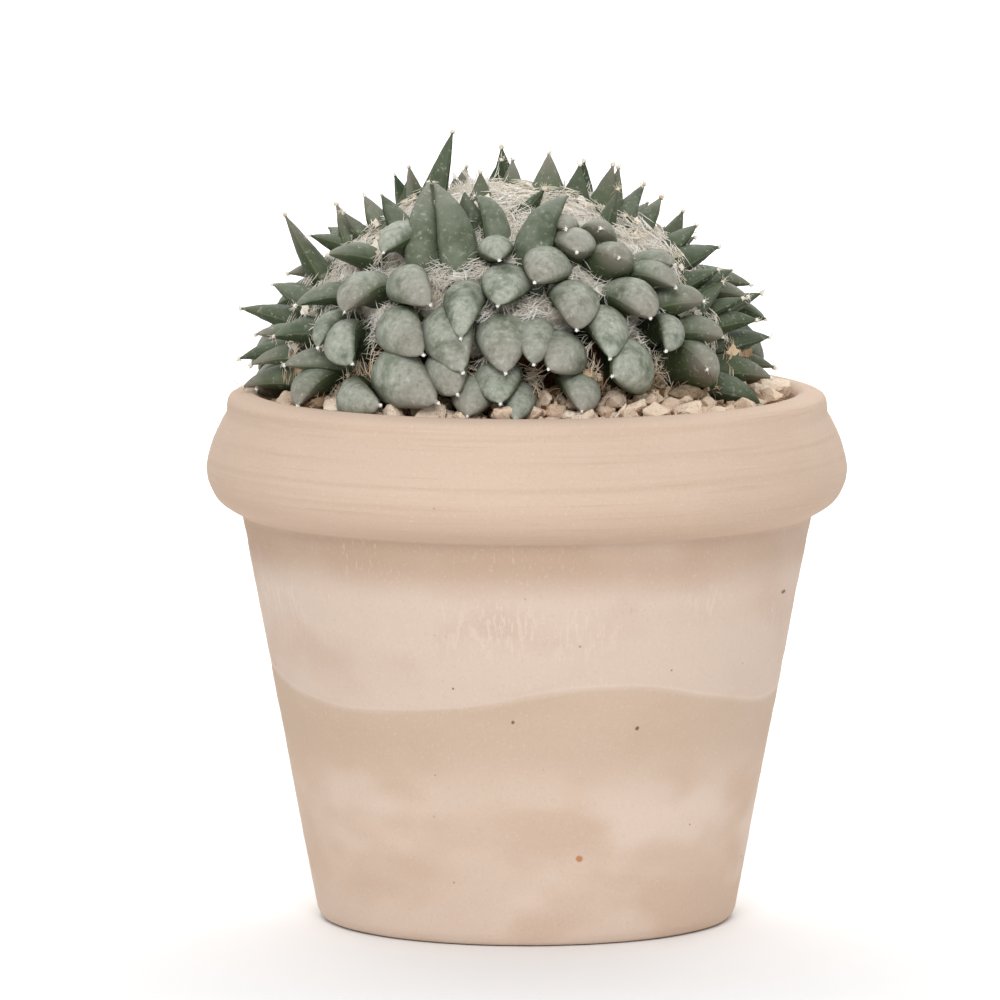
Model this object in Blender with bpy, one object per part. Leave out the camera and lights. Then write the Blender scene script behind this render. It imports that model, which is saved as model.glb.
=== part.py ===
"""Living-rock cactus clump in a rolled-rim terracotta pot, topped with pumice grit.

Origin: centre of the pot's foot, on the surface it stands on. +Z up, -Y towards the viewer, metres.
"""

import math
import random

import bmesh
import bpy
import numpy as np
from mathutils import Vector, noise

# ---------------------------------------------------------------- driving dimensions
GAP = 0.0003                    # clear space between touching pieces

# pot
RIM_RADIUS = 0.120              # widest point of the rolled rim
POT_HEIGHT = 0.198              # foot to lip crest
RIM_HEIGHT = 0.046              # lip crest down to where the rim leaves the body
RIM_OVERHANG = 0.0133           # how far the rim stands out from the body's top
FOOT_RADIUS = 0.078
FOOT_ROUNDING = 0.004
WALL = 0.009
LIP_WIDTH = 0.0062              # lip crest in to the mouth
FLOOR_THICKNESS = 0.012
DRAIN_RADIUS = 0.011
POT_SEGMENTS = 48

# fillings
CROCK_RADIUS = 0.024
CROCK_THICKNESS = 0.006
CROCK_RISE = 0.006
DRAINAGE_DEPTH = 0.026
BED_DROP = 0.008                # lip crest down to the grit at the wall
BED_DEPTH = 0.020
BED_RISE = 0.011                # the grit heaps up towards the plant
FILL_SEGMENTS = 40

# plant
PLANT_X = -0.006                # it stands a little left of the pot's axis
PLANT_Y = 0.002
EQUATOR_ABOVE_BED = 0.005       # widest part of the dome above the grit at the wall
DOME_MARGIN = 0.0001            # dome inside the mouth
TUBERCLE_REACH = 0.030          # core surface out to the tips
DOME_HEIGHT = 0.0905
CORE_HEIGHT = 0.066
TAPROOT_DEPTH = 0.085
CORE_SEGMENTS = 28
CORE_STEPS = 7
# (share of the core's radius, share of the taproot's depth)
TAPROOT = ((0.96, 0.15), (0.76, 0.32), (0.45, 0.48), (0.22, 0.66), (0.10, 0.92))

# loose pieces on the grit
STONE_SIZE = 0.0122
STONE_LARGEST = 1.12            # a lumpy stone's longest side, as a share of its size
OUTER_RANK = 12
INNER_RANK = 7
INNER_TURN = 3.0                # degrees to the right, as the plant stands to the left
BACK_RANK = 11
STONE_SEED = 5
FRONT_SHARES = (0.7, 1.0)       # smallest and largest stone, as a share of STONE_SIZE
BACK_SHARES = (0.8, 1.0)
STONE_SQUASH = (1.0, 1.0, 0.78)
LUMP_DEPTH = 0.22
LUMP_SCALE = 3.0
LUMP_STEP = (3.1, 1.7, 0.9)     # from one seed's noise to the next
DRY_TUBERCLE = (0.020, 0.0105, 0.0085)
DRY_WOOL = (0.014, 0.011, 0.010)
DRY_WOOL_SEED = 71
WALL_GAP = 0.0008               # a stone to the faceted wall

MM = 0.001

# ---------------------------------------------------------------- derived sizes
MOUTH_RADIUS = RIM_RADIUS - RIM_OVERHANG - LIP_WIDTH
BODY_TOP_RADIUS = RIM_RADIUS - RIM_OVERHANG
BODY_TOP_Z = POT_HEIGHT - RIM_HEIGHT
BED_Z = POT_HEIGHT - BED_DROP
MIX_TOP_Z = BED_Z - BED_DEPTH
DRAINAGE_TOP_Z = FLOOR_THICKNESS + DRAINAGE_DEPTH
PLANT_Z = BED_Z + EQUATOR_ABOVE_BED
DOME_RADIUS = MOUTH_RADIUS - DOME_MARGIN
CORE_RADIUS = DOME_RADIUS - TUBERCLE_REACH
PLANT = np.array((PLANT_X, PLANT_Y, PLANT_Z))

# ---------------------------------------------------------------- tubercles, placed by hand
# Azimuth 0 faces the viewer and + turns to the right; elevation 0 is the dome's widest line.
# (tip azimuth, tip elevation, belly azimuth, belly elevation, width in mm)
FACING = (
    (-19, 28, -30, 35, 16), (-19, 16, -29, 23, 18), (-15, 5, -27, 11, 21), (-10, 12, -16, 23, 20),
    (-11, 20, -12, 32, 15), (-11, 7, -15, 13, 18), (-9, 2, -8, 7, 16), (-3, 28, -1, 36, 18),
    (-1, 12, -2, 22, 19), (-2, 5, -3, 11, 17), (-3, 40, -5, 46, 13), (5, 14, 6, 22, 15),
    (6, 34, 11, 41, 18), (8, 13, 13, 17, 18), (15, 22, 17, 31, 18), (22, 15, 24, 24, 16),
    (22, 11, 29, 13, 21), (34, 24, 33, 31, 18), (19, 42, 21, 47, 17), (31, 40, 31, 41, 17),
    (30, 49, 33, 50, 15), (18, 49, 20, 55, 14), (36, 16, 42, 22, 12), (55, 18, 53, 21, 16),
    (47, 11, 49, 12, 20), (53, 27, 48, 30, 17), (67, 1, 63, 5, 16), (76, 6, 70, 9, 15),
    (84, 15, 75, 15, 14), (76, 20, 70, 22, 14), (66, 31, 59, 27, 15), (68, 34, 62, 34, 14),
    (73, 26, 67, 25, 11), (45, 31, 43, 38, 14), (49, 37, 46, 41, 14), (-84, 3, -72, 6, 15),
    (-77, 9, -69, 14, 13), (-66, 17, -63, 21, 16), (-88, 28, -68, 27, 15), (-61, 25, -58, 34, 14),
    (-42, 25, -43, 33, 17), (-47, 16, -51, 24, 12), (-36, 13, -44, 19, 16), (-51, 2, -54, 8, 17),
    (-28, 4, -38, 4, 17), (-60, 39, -56, 46, 15), (-38, 41, -39, 49, 15), (-22, 63, -16, 58, 13),
    (84, 39, 63, 42, 15), (78, 33, 68, 33, 14), (84, 46, 71, 46, 13),
    (88, 56, 70, 54, 12), (85, 61, 57, 57, 12), (-85, 57, -72, 54, 13), (-68, 59, -50, 54, 14),
    (-80, 16, -76, 19, 12), (-80, 51, -76, 50, 10), (-58, 11, -50, 13, 14), (1, 1, 2, 6, 12),
    (15, 3, 16, 8, 15),
)
# (tip azimuth, tip elevation, reach beyond the dome, root azimuth, root elevation, width in mm)
STANDING = (
    (-90, 42, 1.13, -90, 27, 15), (-90, 79, 1.12, -75, 57, 14), (-173, 74, 1.05, 180, 60, 14),
    (176, 84, 0.98, 0, 78, 11), (90, 82, 1.02, 30, 68, 16), (23, 70, 0.95, -10, 66, 14),
    (80, 75, 1.00, 50, 66, 14), (75, 68, 1.05, 55, 60, 15), (80, 67, 1.04, 65, 58, 14),
    (53, 61, 1.02, 45, 52, 14), (-28, 76, 0.98, -20, 64, 14), (-90, 20, 1.07, -86, 20, 15),
    (-90, 51, 1.03, -80, 42, 16), (-118, 65, 1.00, -100, 56, 14), (-96, 8, 1.03, -92, 12, 15),
    (96, 24, 1.03, 90, 22, 14), (98, 6, 1.00, 92, 8, 15), (95, 50, 1.00, 84, 42, 15),
)
# broad leaf-like ones that stand up in front of the crown, with their own plumpness
# (tip azimuth, tip elevation, belly azimuth, belly elevation, width in mm, plumpness)
LEAVES = (
    (-48, 66, -33, 50, 13, 0.2), (-44, 66, -20, 51, 15, 0.2), (26, 61, 9, 50, 16, 0.3),
    (-16, 61, -6, 55, 12, 0.3),
)
LEAF_RISE = 15.0                # degrees from a leaf's root up to its belly
# the side turned away is filled along a sunflower spiral
SPIRAL_COUNT = 170
SPIRAL_LOWEST = 5
SPIRAL_HIGHEST = 74
ROOT_SPACING = 0.0105           # from a spiral root to one placed by hand
GOLDEN_ANGLE = 137.508
SPIRAL_SPREAD = 104.0           # degrees either side of the back
HAND_PLACED_TOP = 70.0          # above this the spiral fills all round
SPIRAL_LEAN = 4.0               # each tip strays this many degrees up or down
SPIRAL_TWIST = 9.0              # and this many round
SPIRAL_REACH = (0.95, 1.04)     # beyond the dome
SPIRAL_WIDTH = 17.5             # mm, at the dome's widest line
SPIRAL_NARROWING = 0.07         # mm less for each degree up
SPIRAL_DROOP = 12.0             # degrees that a low tip hangs below its root
SPIRAL_DROOP_FADE = 1.6
SPIRAL_TIP_LOWEST = 3.0
SPIRAL_DEPTH = 0.85             # bellies of the plump ones, out on the dome
SPIRAL_SEED = 11
# centres of the woolly growing points: (azimuth, elevation, radius in mm)
WOOL_CROWNS = ((-88, 80, 8.5), (94, 74, 7.5), (152, 62, 7.5), (-165, 34, 6.5))
WOOL_HEIGHT = 0.011
WOOL_FRAY = 0.08
WOOL_FRAY_SCALE = 2.3
WOOL_FREE = 0.004               # roots keep this far from a crown's edge

# a tubercle's own shape: plumpness 1 is a broad shield, and towards 0 it is a horn
HORN_PLUMPNESS = 0.18
SHIELD_AZIMUTH = (40.0, 64.0)   # shields up to the first, horns from the second on
SHIELD_ELEVATION = (44.0, 60.0)
SPIRAL_PLUMP_BELOW = 40.0       # spiral tubercles are plumper below this elevation
SPIRAL_PLUMP_FADE = 22.0
SPIRAL_PLUMP_MORE = 0.7
BELLY_AT = (0.39, 0.51)         # widest point of a horn and of a shield, as a share of root to tip
OUTER_STATION = 0.60            # last ring of points, as a share of belly to tip
AXIL_WIDTH = 0.74               # width at the root, as a share of the widest
SHIELD_WIDENING = 0.06
THICKNESS = (0.38, 0.43)        # upper side of a horn and of a shield, as a share of the width
KEEL = 0.78                     # underside, as a share of the upper side
HORN_TAPER = 1.6
SHIELD_TAPER = 2.3
SHIELD_SHOULDER = 0.8
BOW_UP = 0.0030                 # how far a level horn's middle stands up
BOW_FALL = 0.0048               # how much of that an upright one loses
ROOT_DEPTH = 0.97               # roots start just inside the core
FACE_DEPTH = 0.92               # bellies lie this far out on the dome
BELLY_BEHIND = 0.009            # a belly's middle lies this far behind the face it shows
SIDES = 6
GROWTH = 0.00045                # how much larger the shape is that clears room for the plant
ROUND_GROWTH = 1.2              # more of it round the sides, which are flat between their corners


def unit(vector):
    return vector / np.linalg.norm(vector)


# ---------------------------------------------------------------- materials and objects
def material(name, colour, roughness, metallic=0.0):
    made = bpy.data.materials.new(name)
    made.use_nodes = True
    shader = made.node_tree.nodes["Principled BSDF"]
    shader.inputs["Base Color"].default_value = (*colour, 1.0)
    shader.inputs["Roughness"].default_value = roughness
    shader.inputs["Metallic"].default_value = metallic
    made.diffuse_color = (*colour, 1.0)
    return made


def add_object(name, mesh, finish=None):
    made = bpy.data.objects.new(name, mesh)
    bpy.context.scene.collection.objects.link(made)
    if finish:
        mesh.materials.append(finish)
    return made


def mesh_from(name, vertices, faces):
    mesh = bpy.data.meshes.new(name)
    mesh.from_pydata([tuple(v) for v in vertices], [], faces)
    mesh.shade_smooth()
    mesh.set_sharp_from_angle(angle=math.radians(50))
    return mesh


def hide_as_cutter(made):
    made.hide_render = True
    made.display_type = "WIRE"


def cut(target, cutter, operation="DIFFERENCE"):
    modifier = target.modifiers.new(cutter.name, "BOOLEAN")
    modifier.operation = operation
    modifier.solver = "EXACT"
    modifier.object = cutter


def settle(made):
    """Fixes the modifiers' result as the mesh, and keeps its outer shell alone."""
    graph = bpy.context.evaluated_depsgraph_get()
    mesh = bpy.data.meshes.new_from_object(made.evaluated_get(graph))
    made.modifiers.clear()
    made.data = mesh
    bm = bmesh.new()
    bm.from_mesh(mesh)
    bmesh.ops.triangulate(bm, faces=bm.faces)
    shells = []
    waiting = set(bm.verts)
    while waiting:
        shell, edge = set(), [next(iter(waiting))]
        while edge:
            vertex = edge.pop()
            if vertex in waiting:
                waiting.remove(vertex)
                shell.add(vertex)
                edge += [link.other_vert(vertex) for link in vertex.link_edges]
        faces = {face for vertex in shell for face in vertex.link_faces}
        volume = sum(f.verts[0].co.dot(f.verts[1].co.cross(f.verts[2].co)) for f in faces)
        shells.append((volume, len(shells), shell))
    shells.sort(key=lambda found: found[:2])
    for _, _, shell in shells[:-1]:
        bmesh.ops.delete(bm, geom=list(shell), context="VERTS")
    bm.to_mesh(mesh)
    bm.free()


def lathe(name, outline, segments, finish=None, closed=False):
    """Turns an outline of (radius, height), listed down its outer side, about Z."""
    mesh = bpy.data.meshes.new(name)
    count = len(outline)
    edges = [(i, i + 1) for i in range(count - 1)]
    if closed:
        edges.append((count - 1, 0))
    mesh.from_pydata([(radius, 0.0, height) for radius, height in outline], edges, [])
    made = add_object(name, mesh, finish)
    screw = made.modifiers.new("turned", "SCREW")
    screw.axis = "Z"
    screw.steps = segments
    screw.render_steps = segments
    screw.use_merge_vertices = True
    screw.merge_threshold = 0.00001
    screw.use_smooth_shade = True
    return made


# ---------------------------------------------------------------- pot
def outer_radius(height):
    """Outside of the pot's straight body."""
    return FOOT_RADIUS + (BODY_TOP_RADIUS - FOOT_RADIUS) * height / BODY_TOP_Z


INNER_FLOOR_RADIUS = outer_radius(FLOOR_THICKNESS) - WALL


def inner_radius(height):
    """Inside of the pot, one straight cone from floor to mouth."""
    climb = (height - FLOOR_THICKNESS) / (POT_HEIGHT - FLOOR_THICKNESS)
    return INNER_FLOOR_RADIUS + (MOUTH_RADIUS - INNER_FLOOR_RADIUS) * climb


def pot_outline():
    # (share of the overhang still missing, share of the rim's height below the crest)
    rim = ((0.66, 0.04), (0.57, 0.11), (0.56, 0.18), (0.42, 0.25), (0.24, 0.36),
           (0.09, 0.48), (0.0, 0.63), (0.09, 0.76), (0.38, 0.89))
    points = [(MOUTH_RADIUS, POT_HEIGHT - 0.0025), (MOUTH_RADIUS + 0.4 * LIP_WIDTH, POT_HEIGHT),
              (MOUTH_RADIUS + LIP_WIDTH, POT_HEIGHT)]
    for missing, below in rim:
        points.append((RIM_RADIUS - missing * RIM_OVERHANG, POT_HEIGHT - below * RIM_HEIGHT))
    points.append((BODY_TOP_RADIUS, BODY_TOP_Z))
    points.append((outer_radius(FOOT_ROUNDING), FOOT_ROUNDING))
    points.append((FOOT_RADIUS - 0.3 * FOOT_ROUNDING, 0.3 * FOOT_ROUNDING))
    points.append((FOOT_RADIUS - FOOT_ROUNDING, 0.0))
    points.append((DRAIN_RADIUS, 0.0))
    points.append((DRAIN_RADIUS, FLOOR_THICKNESS))
    points.append((INNER_FLOOR_RADIUS, FLOOR_THICKNESS))
    return points


def make_pot():
    clay = material("terracotta", (0.67, 0.50, 0.36), 0.88)
    lathe("pot", pot_outline(), POT_SEGMENTS, clay, closed=True)


# ---------------------------------------------------------------- fillings
def make_crock():
    """A shard of an old pot, hollow side down over the drain."""
    corners = ((0.0, 1.0), (58.0, 0.86), (105.0, 1.0), (170.0, 0.90), (221.0, 1.0), (298.0, 0.93))
    rings = ((1.0, 0.0), (0.55, 0.75))
    base = FLOOR_THICKNESS + GAP
    vertices = []
    for lift in (0.0, CROCK_THICKNESS):
        for share, rise in rings:
            for angle, reach in corners:
                radius = CROCK_RADIUS * reach * share
                turn = math.radians(angle)
                vertices.append((radius * math.cos(turn), radius * math.sin(turn),
                                 base + lift + rise * CROCK_RISE))
        vertices.append((0.0, 0.0, base + lift + CROCK_RISE))
    count = len(corners)
    layer = 2 * count + 1
    faces = []
    for i in range(count):
        j = (i + 1) % count
        faces.append((i, count + i, count + j, j))
        faces.append((count + i, 2 * count, count + j))
        faces.append((layer + i, layer + j, layer + count + j, layer + count + i))
        faces.append((layer + count + i, layer + count + j, layer + 2 * count))
        faces.append((i, j, layer + j, layer + i))
    shard = material("old_terracotta", (0.52, 0.30, 0.20), 0.9)
    add_object("drainage_crock", mesh_from("drainage_crock", vertices, faces), shard)


def make_drainage():
    """Coarse grit round and over the crock."""
    bottom = FLOOR_THICKNESS + GAP
    cavity = CROCK_RADIUS + GAP
    roof = bottom + CROCK_RISE + CROCK_THICKNESS + GAP
    outline = [(0.0, DRAINAGE_TOP_Z), (inner_radius(DRAINAGE_TOP_Z) - GAP - GAP, DRAINAGE_TOP_Z),
               (inner_radius(bottom) - GAP - GAP, bottom), (cavity, bottom), (cavity, roof), (0.0, roof)]
    grit = material("drainage_grit", (0.42, 0.36, 0.30), 0.95)
    lathe("drainage_gravel", outline, FILL_SEGMENTS, grit)


def make_potting_mix():
    bottom = DRAINAGE_TOP_Z + GAP
    top = MIX_TOP_Z
    outline = [(0.0, top), (inner_radius(top) - GAP - GAP, top),
               (inner_radius(bottom) - GAP - GAP, bottom), (0.0, bottom)]
    soil = material("gritty_soil", (0.16, 0.11, 0.075), 0.97)
    return lathe("potting_mix", outline, FILL_SEGMENTS, soil)


def bed_height(radius):
    """Top of the grit: it heaps up evenly from the wall towards the plant."""
    wall = inner_radius(BED_Z)
    return BED_Z + BED_RISE * (wall - radius) / (wall - CORE_RADIUS)


BED_CENTRE_RADIUS = 0.02        # the heap's top is hidden inside the plant


def make_gravel_bed():
    bottom = MIX_TOP_Z + GAP
    wall_top = inner_radius(BED_Z) - GAP - GAP
    outline = [(0.0, bed_height(BED_CENTRE_RADIUS)), (BED_CENTRE_RADIUS, bed_height(BED_CENTRE_RADIUS)),
               (wall_top, bed_height(wall_top)), (inner_radius(bottom) - GAP - GAP, bottom),
               (0.0, bottom)]
    pumice = material("pumice_grit", (0.60, 0.46, 0.34), 0.95)
    return lathe("gravel_bed", outline, FILL_SEGMENTS, pumice)


# ---------------------------------------------------------------- plant
def on_ellipsoid(azimuth, elevation, radius, height):
    turn, climb = math.radians(azimuth), math.radians(elevation)
    level = radius * math.cos(climb)
    return PLANT + np.array((level * math.sin(turn), -level * math.cos(turn), height * math.sin(climb)))


def between(low, high, share):
    return low + (high - low) * share


def fade(value, ends):
    """1 up to the first end, 0 from the second on, and straight between them."""
    return min(1.0, max(0.0, (ends[1] - value) / (ends[1] - ends[0])))


def plumpness(turn, climb):
    """1 for the broad shields low in front, falling towards horns at the sides and the top."""
    return between(HORN_PLUMPNESS, 1.0, fade(abs(turn), SHIELD_AZIMUTH) * fade(climb, SHIELD_ELEVATION))


def on_core(point):
    """Where the line from the dome's centre to a point leaves the core, and a little inside it."""
    away = point - PLANT
    return PLANT + away * ROOT_DEPTH / np.linalg.norm(away / (CORE_RADIUS, CORE_RADIUS, CORE_HEIGHT))


def bowed(root, tip):
    """The middle of a horn, which stands up a little from the line between its ends."""
    rise = max(0.0, unit(tip - root)[2])
    return 0.5 * (root + tip) + np.array((0.0, 0.0, BOW_UP - BOW_FALL * rise))


def placed_tubercles():
    """(root, belly, tip, width, plumpness) of each tubercle placed by hand."""
    placed = []
    for tip_turn, tip_climb, belly_turn, belly_climb, width in FACING:
        tip = on_ellipsoid(tip_turn, tip_climb, DOME_RADIUS, DOME_HEIGHT)
        belly = on_ellipsoid(belly_turn, belly_climb, DOME_RADIUS * FACE_DEPTH, DOME_HEIGHT * FACE_DEPTH)
        frontal = math.cos(math.radians(belly_turn)) * math.cos(math.radians(belly_climb))
        belly[1] += BELLY_BEHIND * frontal
        root = on_core(belly)
        plump = plumpness(tip_turn, tip_climb)
        placed.append((root, between(bowed(root, tip), belly, plump), tip, width * MM, plump))
    for tip_turn, tip_climb, belly_turn, belly_climb, width, plump in LEAVES:
        tip = on_ellipsoid(tip_turn, tip_climb, DOME_RADIUS, DOME_HEIGHT)
        belly = on_ellipsoid(belly_turn, belly_climb, DOME_RADIUS * FACE_DEPTH, DOME_HEIGHT * FACE_DEPTH)
        below = on_ellipsoid(belly_turn, belly_climb - LEAF_RISE, DOME_RADIUS, DOME_HEIGHT)
        placed.append((on_core(below), belly, tip, width * MM, plump))
    for tip_turn, tip_climb, reach, root_turn, root_climb, width in STANDING:
        tip = on_ellipsoid(tip_turn, tip_climb, DOME_RADIUS * reach, DOME_HEIGHT * reach)
        root = on_ellipsoid(root_turn, root_climb, CORE_RADIUS * ROOT_DEPTH, CORE_HEIGHT * ROOT_DEPTH)
        placed.append((root, bowed(root, tip), tip, width * MM, 0.0))
    return placed


def spiral_tubercles(placed):
    """(root, belly, tip, width, plumpness) of the tubercles that fill the rest of the dome."""
    chance = random.Random(SPIRAL_SEED)
    roots = [facts[0] for facts in placed]
    crowns = [(on_ellipsoid(turn, climb, CORE_RADIUS, CORE_HEIGHT), size * MM)
              for turn, climb, size in WOOL_CROWNS]
    lowest = math.sin(math.radians(SPIRAL_LOWEST))
    highest = math.sin(math.radians(SPIRAL_HIGHEST))
    found = []
    for k in range(SPIRAL_COUNT):
        climb = math.degrees(math.asin(between(lowest, highest, k / (SPIRAL_COUNT - 1))))
        turn = (k * GOLDEN_ANGLE) % 360.0
        lean = chance.uniform(-SPIRAL_LEAN, SPIRAL_LEAN)
        twist = chance.uniform(-SPIRAL_TWIST, SPIRAL_TWIST)
        reach = chance.uniform(*SPIRAL_REACH)
        width = chance.uniform(0.9, 1.1) * (SPIRAL_WIDTH - SPIRAL_NARROWING * climb) * MM
        root = on_ellipsoid(turn, climb, CORE_RADIUS * ROOT_DEPTH, CORE_HEIGHT * ROOT_DEPTH)
        if any(np.linalg.norm(root - other) < ROOT_SPACING for other in roots):
            continue
        if any(np.linalg.norm(root - crown) < size + WOOL_FREE for crown, size in crowns):
            continue
        if abs(turn - 180.0) > SPIRAL_SPREAD and climb < HAND_PLACED_TOP:
            continue
        droop = SPIRAL_DROOP * math.cos(math.radians(SPIRAL_DROOP_FADE * climb))
        tip_climb = max(climb - droop + lean, SPIRAL_TIP_LOWEST)
        tip = on_ellipsoid(turn + twist, tip_climb, DOME_RADIUS * reach, DOME_HEIGHT * reach)
        middle = on_ellipsoid(turn, climb, DOME_RADIUS * SPIRAL_DEPTH, DOME_HEIGHT * SPIRAL_DEPTH)
        low_down = min(1.0, max(0.0, (SPIRAL_PLUMP_BELOW - climb) / SPIRAL_PLUMP_FADE))
        plump = HORN_PLUMPNESS + SPIRAL_PLUMP_MORE * low_down
        found.append((root, between(bowed(root, tip), middle, plump), tip, width, plump))
    return found


def fullness(share, belly_at, plump):
    """Width along a tubercle, as a share of its widest."""
    if share <= belly_at:
        return between(AXIL_WIDTH, 1.0, math.sin(0.5 * math.pi * share / belly_at))
    out = (share - belly_at) / (1.0 - belly_at)
    shield = (1.0 - out ** SHIELD_TAPER) ** SHIELD_SHOULDER
    horn = 1.0 - out ** HORN_TAPER
    return between(horn, shield, plump)


def tubercle_side(root, belly, tip, plump):
    """The level way across: a shield lies on the dome, and a horn keeps its back up."""
    outward = unit((belly - PLANT) / (DOME_RADIUS ** 2, DOME_RADIUS ** 2, DOME_HEIGHT ** 2))
    lying = unit(np.cross(unit(tip - belly), outward)) * plump
    standing = unit(np.cross(unit(tip - root), (0.0, 0.0, 1.0))) * (1.0 - plump)
    return unit(lying + standing if np.dot(lying, standing) >= 0.0 else lying - standing)


def tubercle_shell(root, belly, tip, width, plump, side, grown):
    """Vertices and faces of one tubercle, on a curve from root through belly to tip."""
    bend = 2.0 * belly - 0.5 * (root + tip)
    belly_at = between(*BELLY_AT, plump)
    half_width = 0.5 * width * (1.0 + SHIELD_WIDENING * plump)
    thickness = between(*THICKNESS, plump) * width
    vertices = [tuple(root - unit(bend - root) * grown)]
    stations = (0.0, belly_at, between(belly_at, 1.0, OUTER_STATION))
    for t in stations:
        centre = (1 - t) ** 2 * root + 2 * t * (1 - t) * bend + t ** 2 * tip
        heading = unit((1 - t) * (bend - root) + t * (tip - bend))
        upper = unit(np.cross(side, heading))
        full = fullness(t, belly_at, plump)
        for k in range(SIDES):
            turn = 2.0 * math.pi * (k + 0.5) / SIDES
            rise = math.sin(turn)
            half = thickness * rise if rise > 0.0 else thickness * KEEL * rise
            across = full * half_width * math.cos(turn) + grown * ROUND_GROWTH * math.cos(turn)
            vertices.append(tuple(centre + side * across
                                  + upper * (full * half + grown * ROUND_GROWTH * rise)))
    vertices.append(tuple(tip + unit(tip - bend) * grown * 2.0))
    faces = []
    for k in range(SIDES):
        following = (k + 1) % SIDES
        faces.append((0, 1 + following, 1 + k))
        for ring in range(len(stations) - 1):
            low = 1 + ring * SIDES
            high = low + SIDES
            faces.append((low + k, low + following, high + following, high + k))
        last = 1 + (len(stations) - 1) * SIDES
        faces.append((last + k, last + following, len(vertices) - 1))
    return vertices, faces


def core_outline(grown):
    """Dome above, shoulders and taproot below, down the outer side."""
    points = []
    for step in range(CORE_STEPS + 1):
        climb = math.radians(90.0 - step * 90.0 / CORE_STEPS)
        points.append(((CORE_RADIUS + grown) * math.cos(climb), (CORE_HEIGHT + grown) * math.sin(climb)))
    points[0] = (0.0, CORE_HEIGHT + grown)
    for radius, depth in TAPROOT:
        points.append((CORE_RADIUS * radius + grown, -TAPROOT_DEPTH * depth))
    points.append((0.0, -TAPROOT_DEPTH - grown))
    return points


def make_clump(name, tubercles, grown, finish=None):
    """Core, taproot and tubercles grown together as one body."""
    clump = lathe(name, core_outline(grown), CORE_SEGMENTS, finish)
    clump.location = PLANT
    vertices, faces = [], []
    for root, belly, tip, width, plump in tubercles:
        side = tubercle_side(root, belly, tip, plump)
        shell, shell_faces = tubercle_shell(root, belly, tip, width, plump, side, grown)
        faces += [tuple(i + len(vertices) for i in face) for face in shell_faces]
        vertices += shell
    shells = add_object(name + "_tubercles", mesh_from(name + "_tubercles", vertices, faces))
    hide_as_cutter(shells)
    joined = clump.modifiers.new("tubercles", "BOOLEAN")
    joined.operation = "UNION"
    joined.solver = "EXACT"
    joined.use_self = True
    joined.object = shells
    return clump


# ---------------------------------------------------------------- what clears the plant
def make_lip_clearance():
    """The pot's mouth and a little more, kept out of the plant that leans over it."""
    low = BED_Z - BED_DEPTH
    outline = [(MOUTH_RADIUS - GAP, POT_HEIGHT + GAP), (RIM_RADIUS, POT_HEIGHT + GAP),
               (RIM_RADIUS, low), (inner_radius(low) - 2.0 * GAP, low)]
    cutter = lathe("lip_clearance", outline, POT_SEGMENTS, closed=True)
    hide_as_cutter(cutter)
    return cutter


def make_wool_crown(name, turn, climb, radius, finish):
    """A cushion of wool that sits in a growing point, cut to the flesh around it."""
    seat = on_ellipsoid(turn, climb, CORE_RADIUS, CORE_HEIGHT)
    outward = Vector(seat - PLANT).normalized()
    bm = bmesh.new()
    bmesh.ops.create_icosphere(bm, subdivisions=2, radius=1.0)
    for vertex in bm.verts:
        fray = 1.0 + WOOL_FRAY * noise.noise(vertex.co * WOOL_FRAY_SCALE + Vector((turn, climb, 0.0)))
        vertex.co = Vector((radius * vertex.co.x, radius * vertex.co.y, WOOL_HEIGHT * vertex.co.z)) * fray
    mesh = bpy.data.meshes.new(name)
    bm.to_mesh(mesh)
    bm.free()
    mesh.shade_smooth()
    tuft = add_object(name, mesh, finish)
    tuft.location = seat
    tuft.rotation_mode = "QUATERNION"
    tuft.rotation_quaternion = outward.to_track_quat("Z", "Y")
    return tuft


# ---------------------------------------------------------------- loose pieces on the grit
def bed_slope_normal(turn):
    """Upward normal of the heaped grit at an azimuth."""
    fall = BED_RISE / (inner_radius(BED_Z) - CORE_RADIUS)
    return unit(np.array((fall * math.sin(turn), -fall * math.cos(turn), 1.0)))


def pebble(size, squash, seed):
    """An angular lump of pumice, as vertices about its centre and faces."""
    bm = bmesh.new()
    bmesh.ops.create_icosphere(bm, subdivisions=2, radius=0.5)
    offset = Vector(LUMP_STEP) * seed
    vertices = []
    for vertex in bm.verts:
        lump = 1.0 + LUMP_DEPTH * noise.noise(vertex.co * LUMP_SCALE + offset)
        vertices.append(np.array(vertex.co) * lump * size * np.array(squash))
    faces = [tuple(v.index for v in face.verts) for face in bm.faces]
    bm.free()
    return np.array(vertices), faces


def rest_on_bed(vertices, azimuth, radius):
    """Turns a loose piece to face outward and stands it on the grit."""
    turn = math.radians(azimuth)
    spin = np.array(((math.cos(turn), -math.sin(turn), 0.0), (math.sin(turn), math.cos(turn), 0.0),
                     (0.0, 0.0, 1.0)))
    turned = vertices @ spin.T
    normal = bed_slope_normal(turn)
    spot = np.array((radius * math.sin(turn), -radius * math.cos(turn), bed_height(radius)))
    lift = GAP - (turned @ normal).min()
    return turned + spot + normal * lift


def make_loose(name, vertices, faces, finish, clearance):
    made = add_object(name, mesh_from(name, vertices, faces), finish)
    cut(made, clearance)
    settle(made)


def dry_tubercle_shape():
    """An old tubercle, dropped, shrunken and lying on its side."""
    length, width, height = DRY_TUBERCLE
    root = np.array((0.5 * length, 0.0, 0.0))
    vertices, faces = tubercle_shell(root, np.zeros(3), -root, width, 0.0, np.array((0.0, -1.0, 0.0)), 0.0)
    points = np.array(vertices)
    points[:, 2] *= height / np.ptp(points[:, 2])
    return points, faces


STONE_ROOM = STONE_SIZE * STONE_LARGEST + GAP
OUTER_RADIUS = inner_radius(BED_Z) - WALL_GAP - 0.5 * STONE_ROOM
INNER_RADIUS = OUTER_RADIUS - STONE_ROOM


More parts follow.
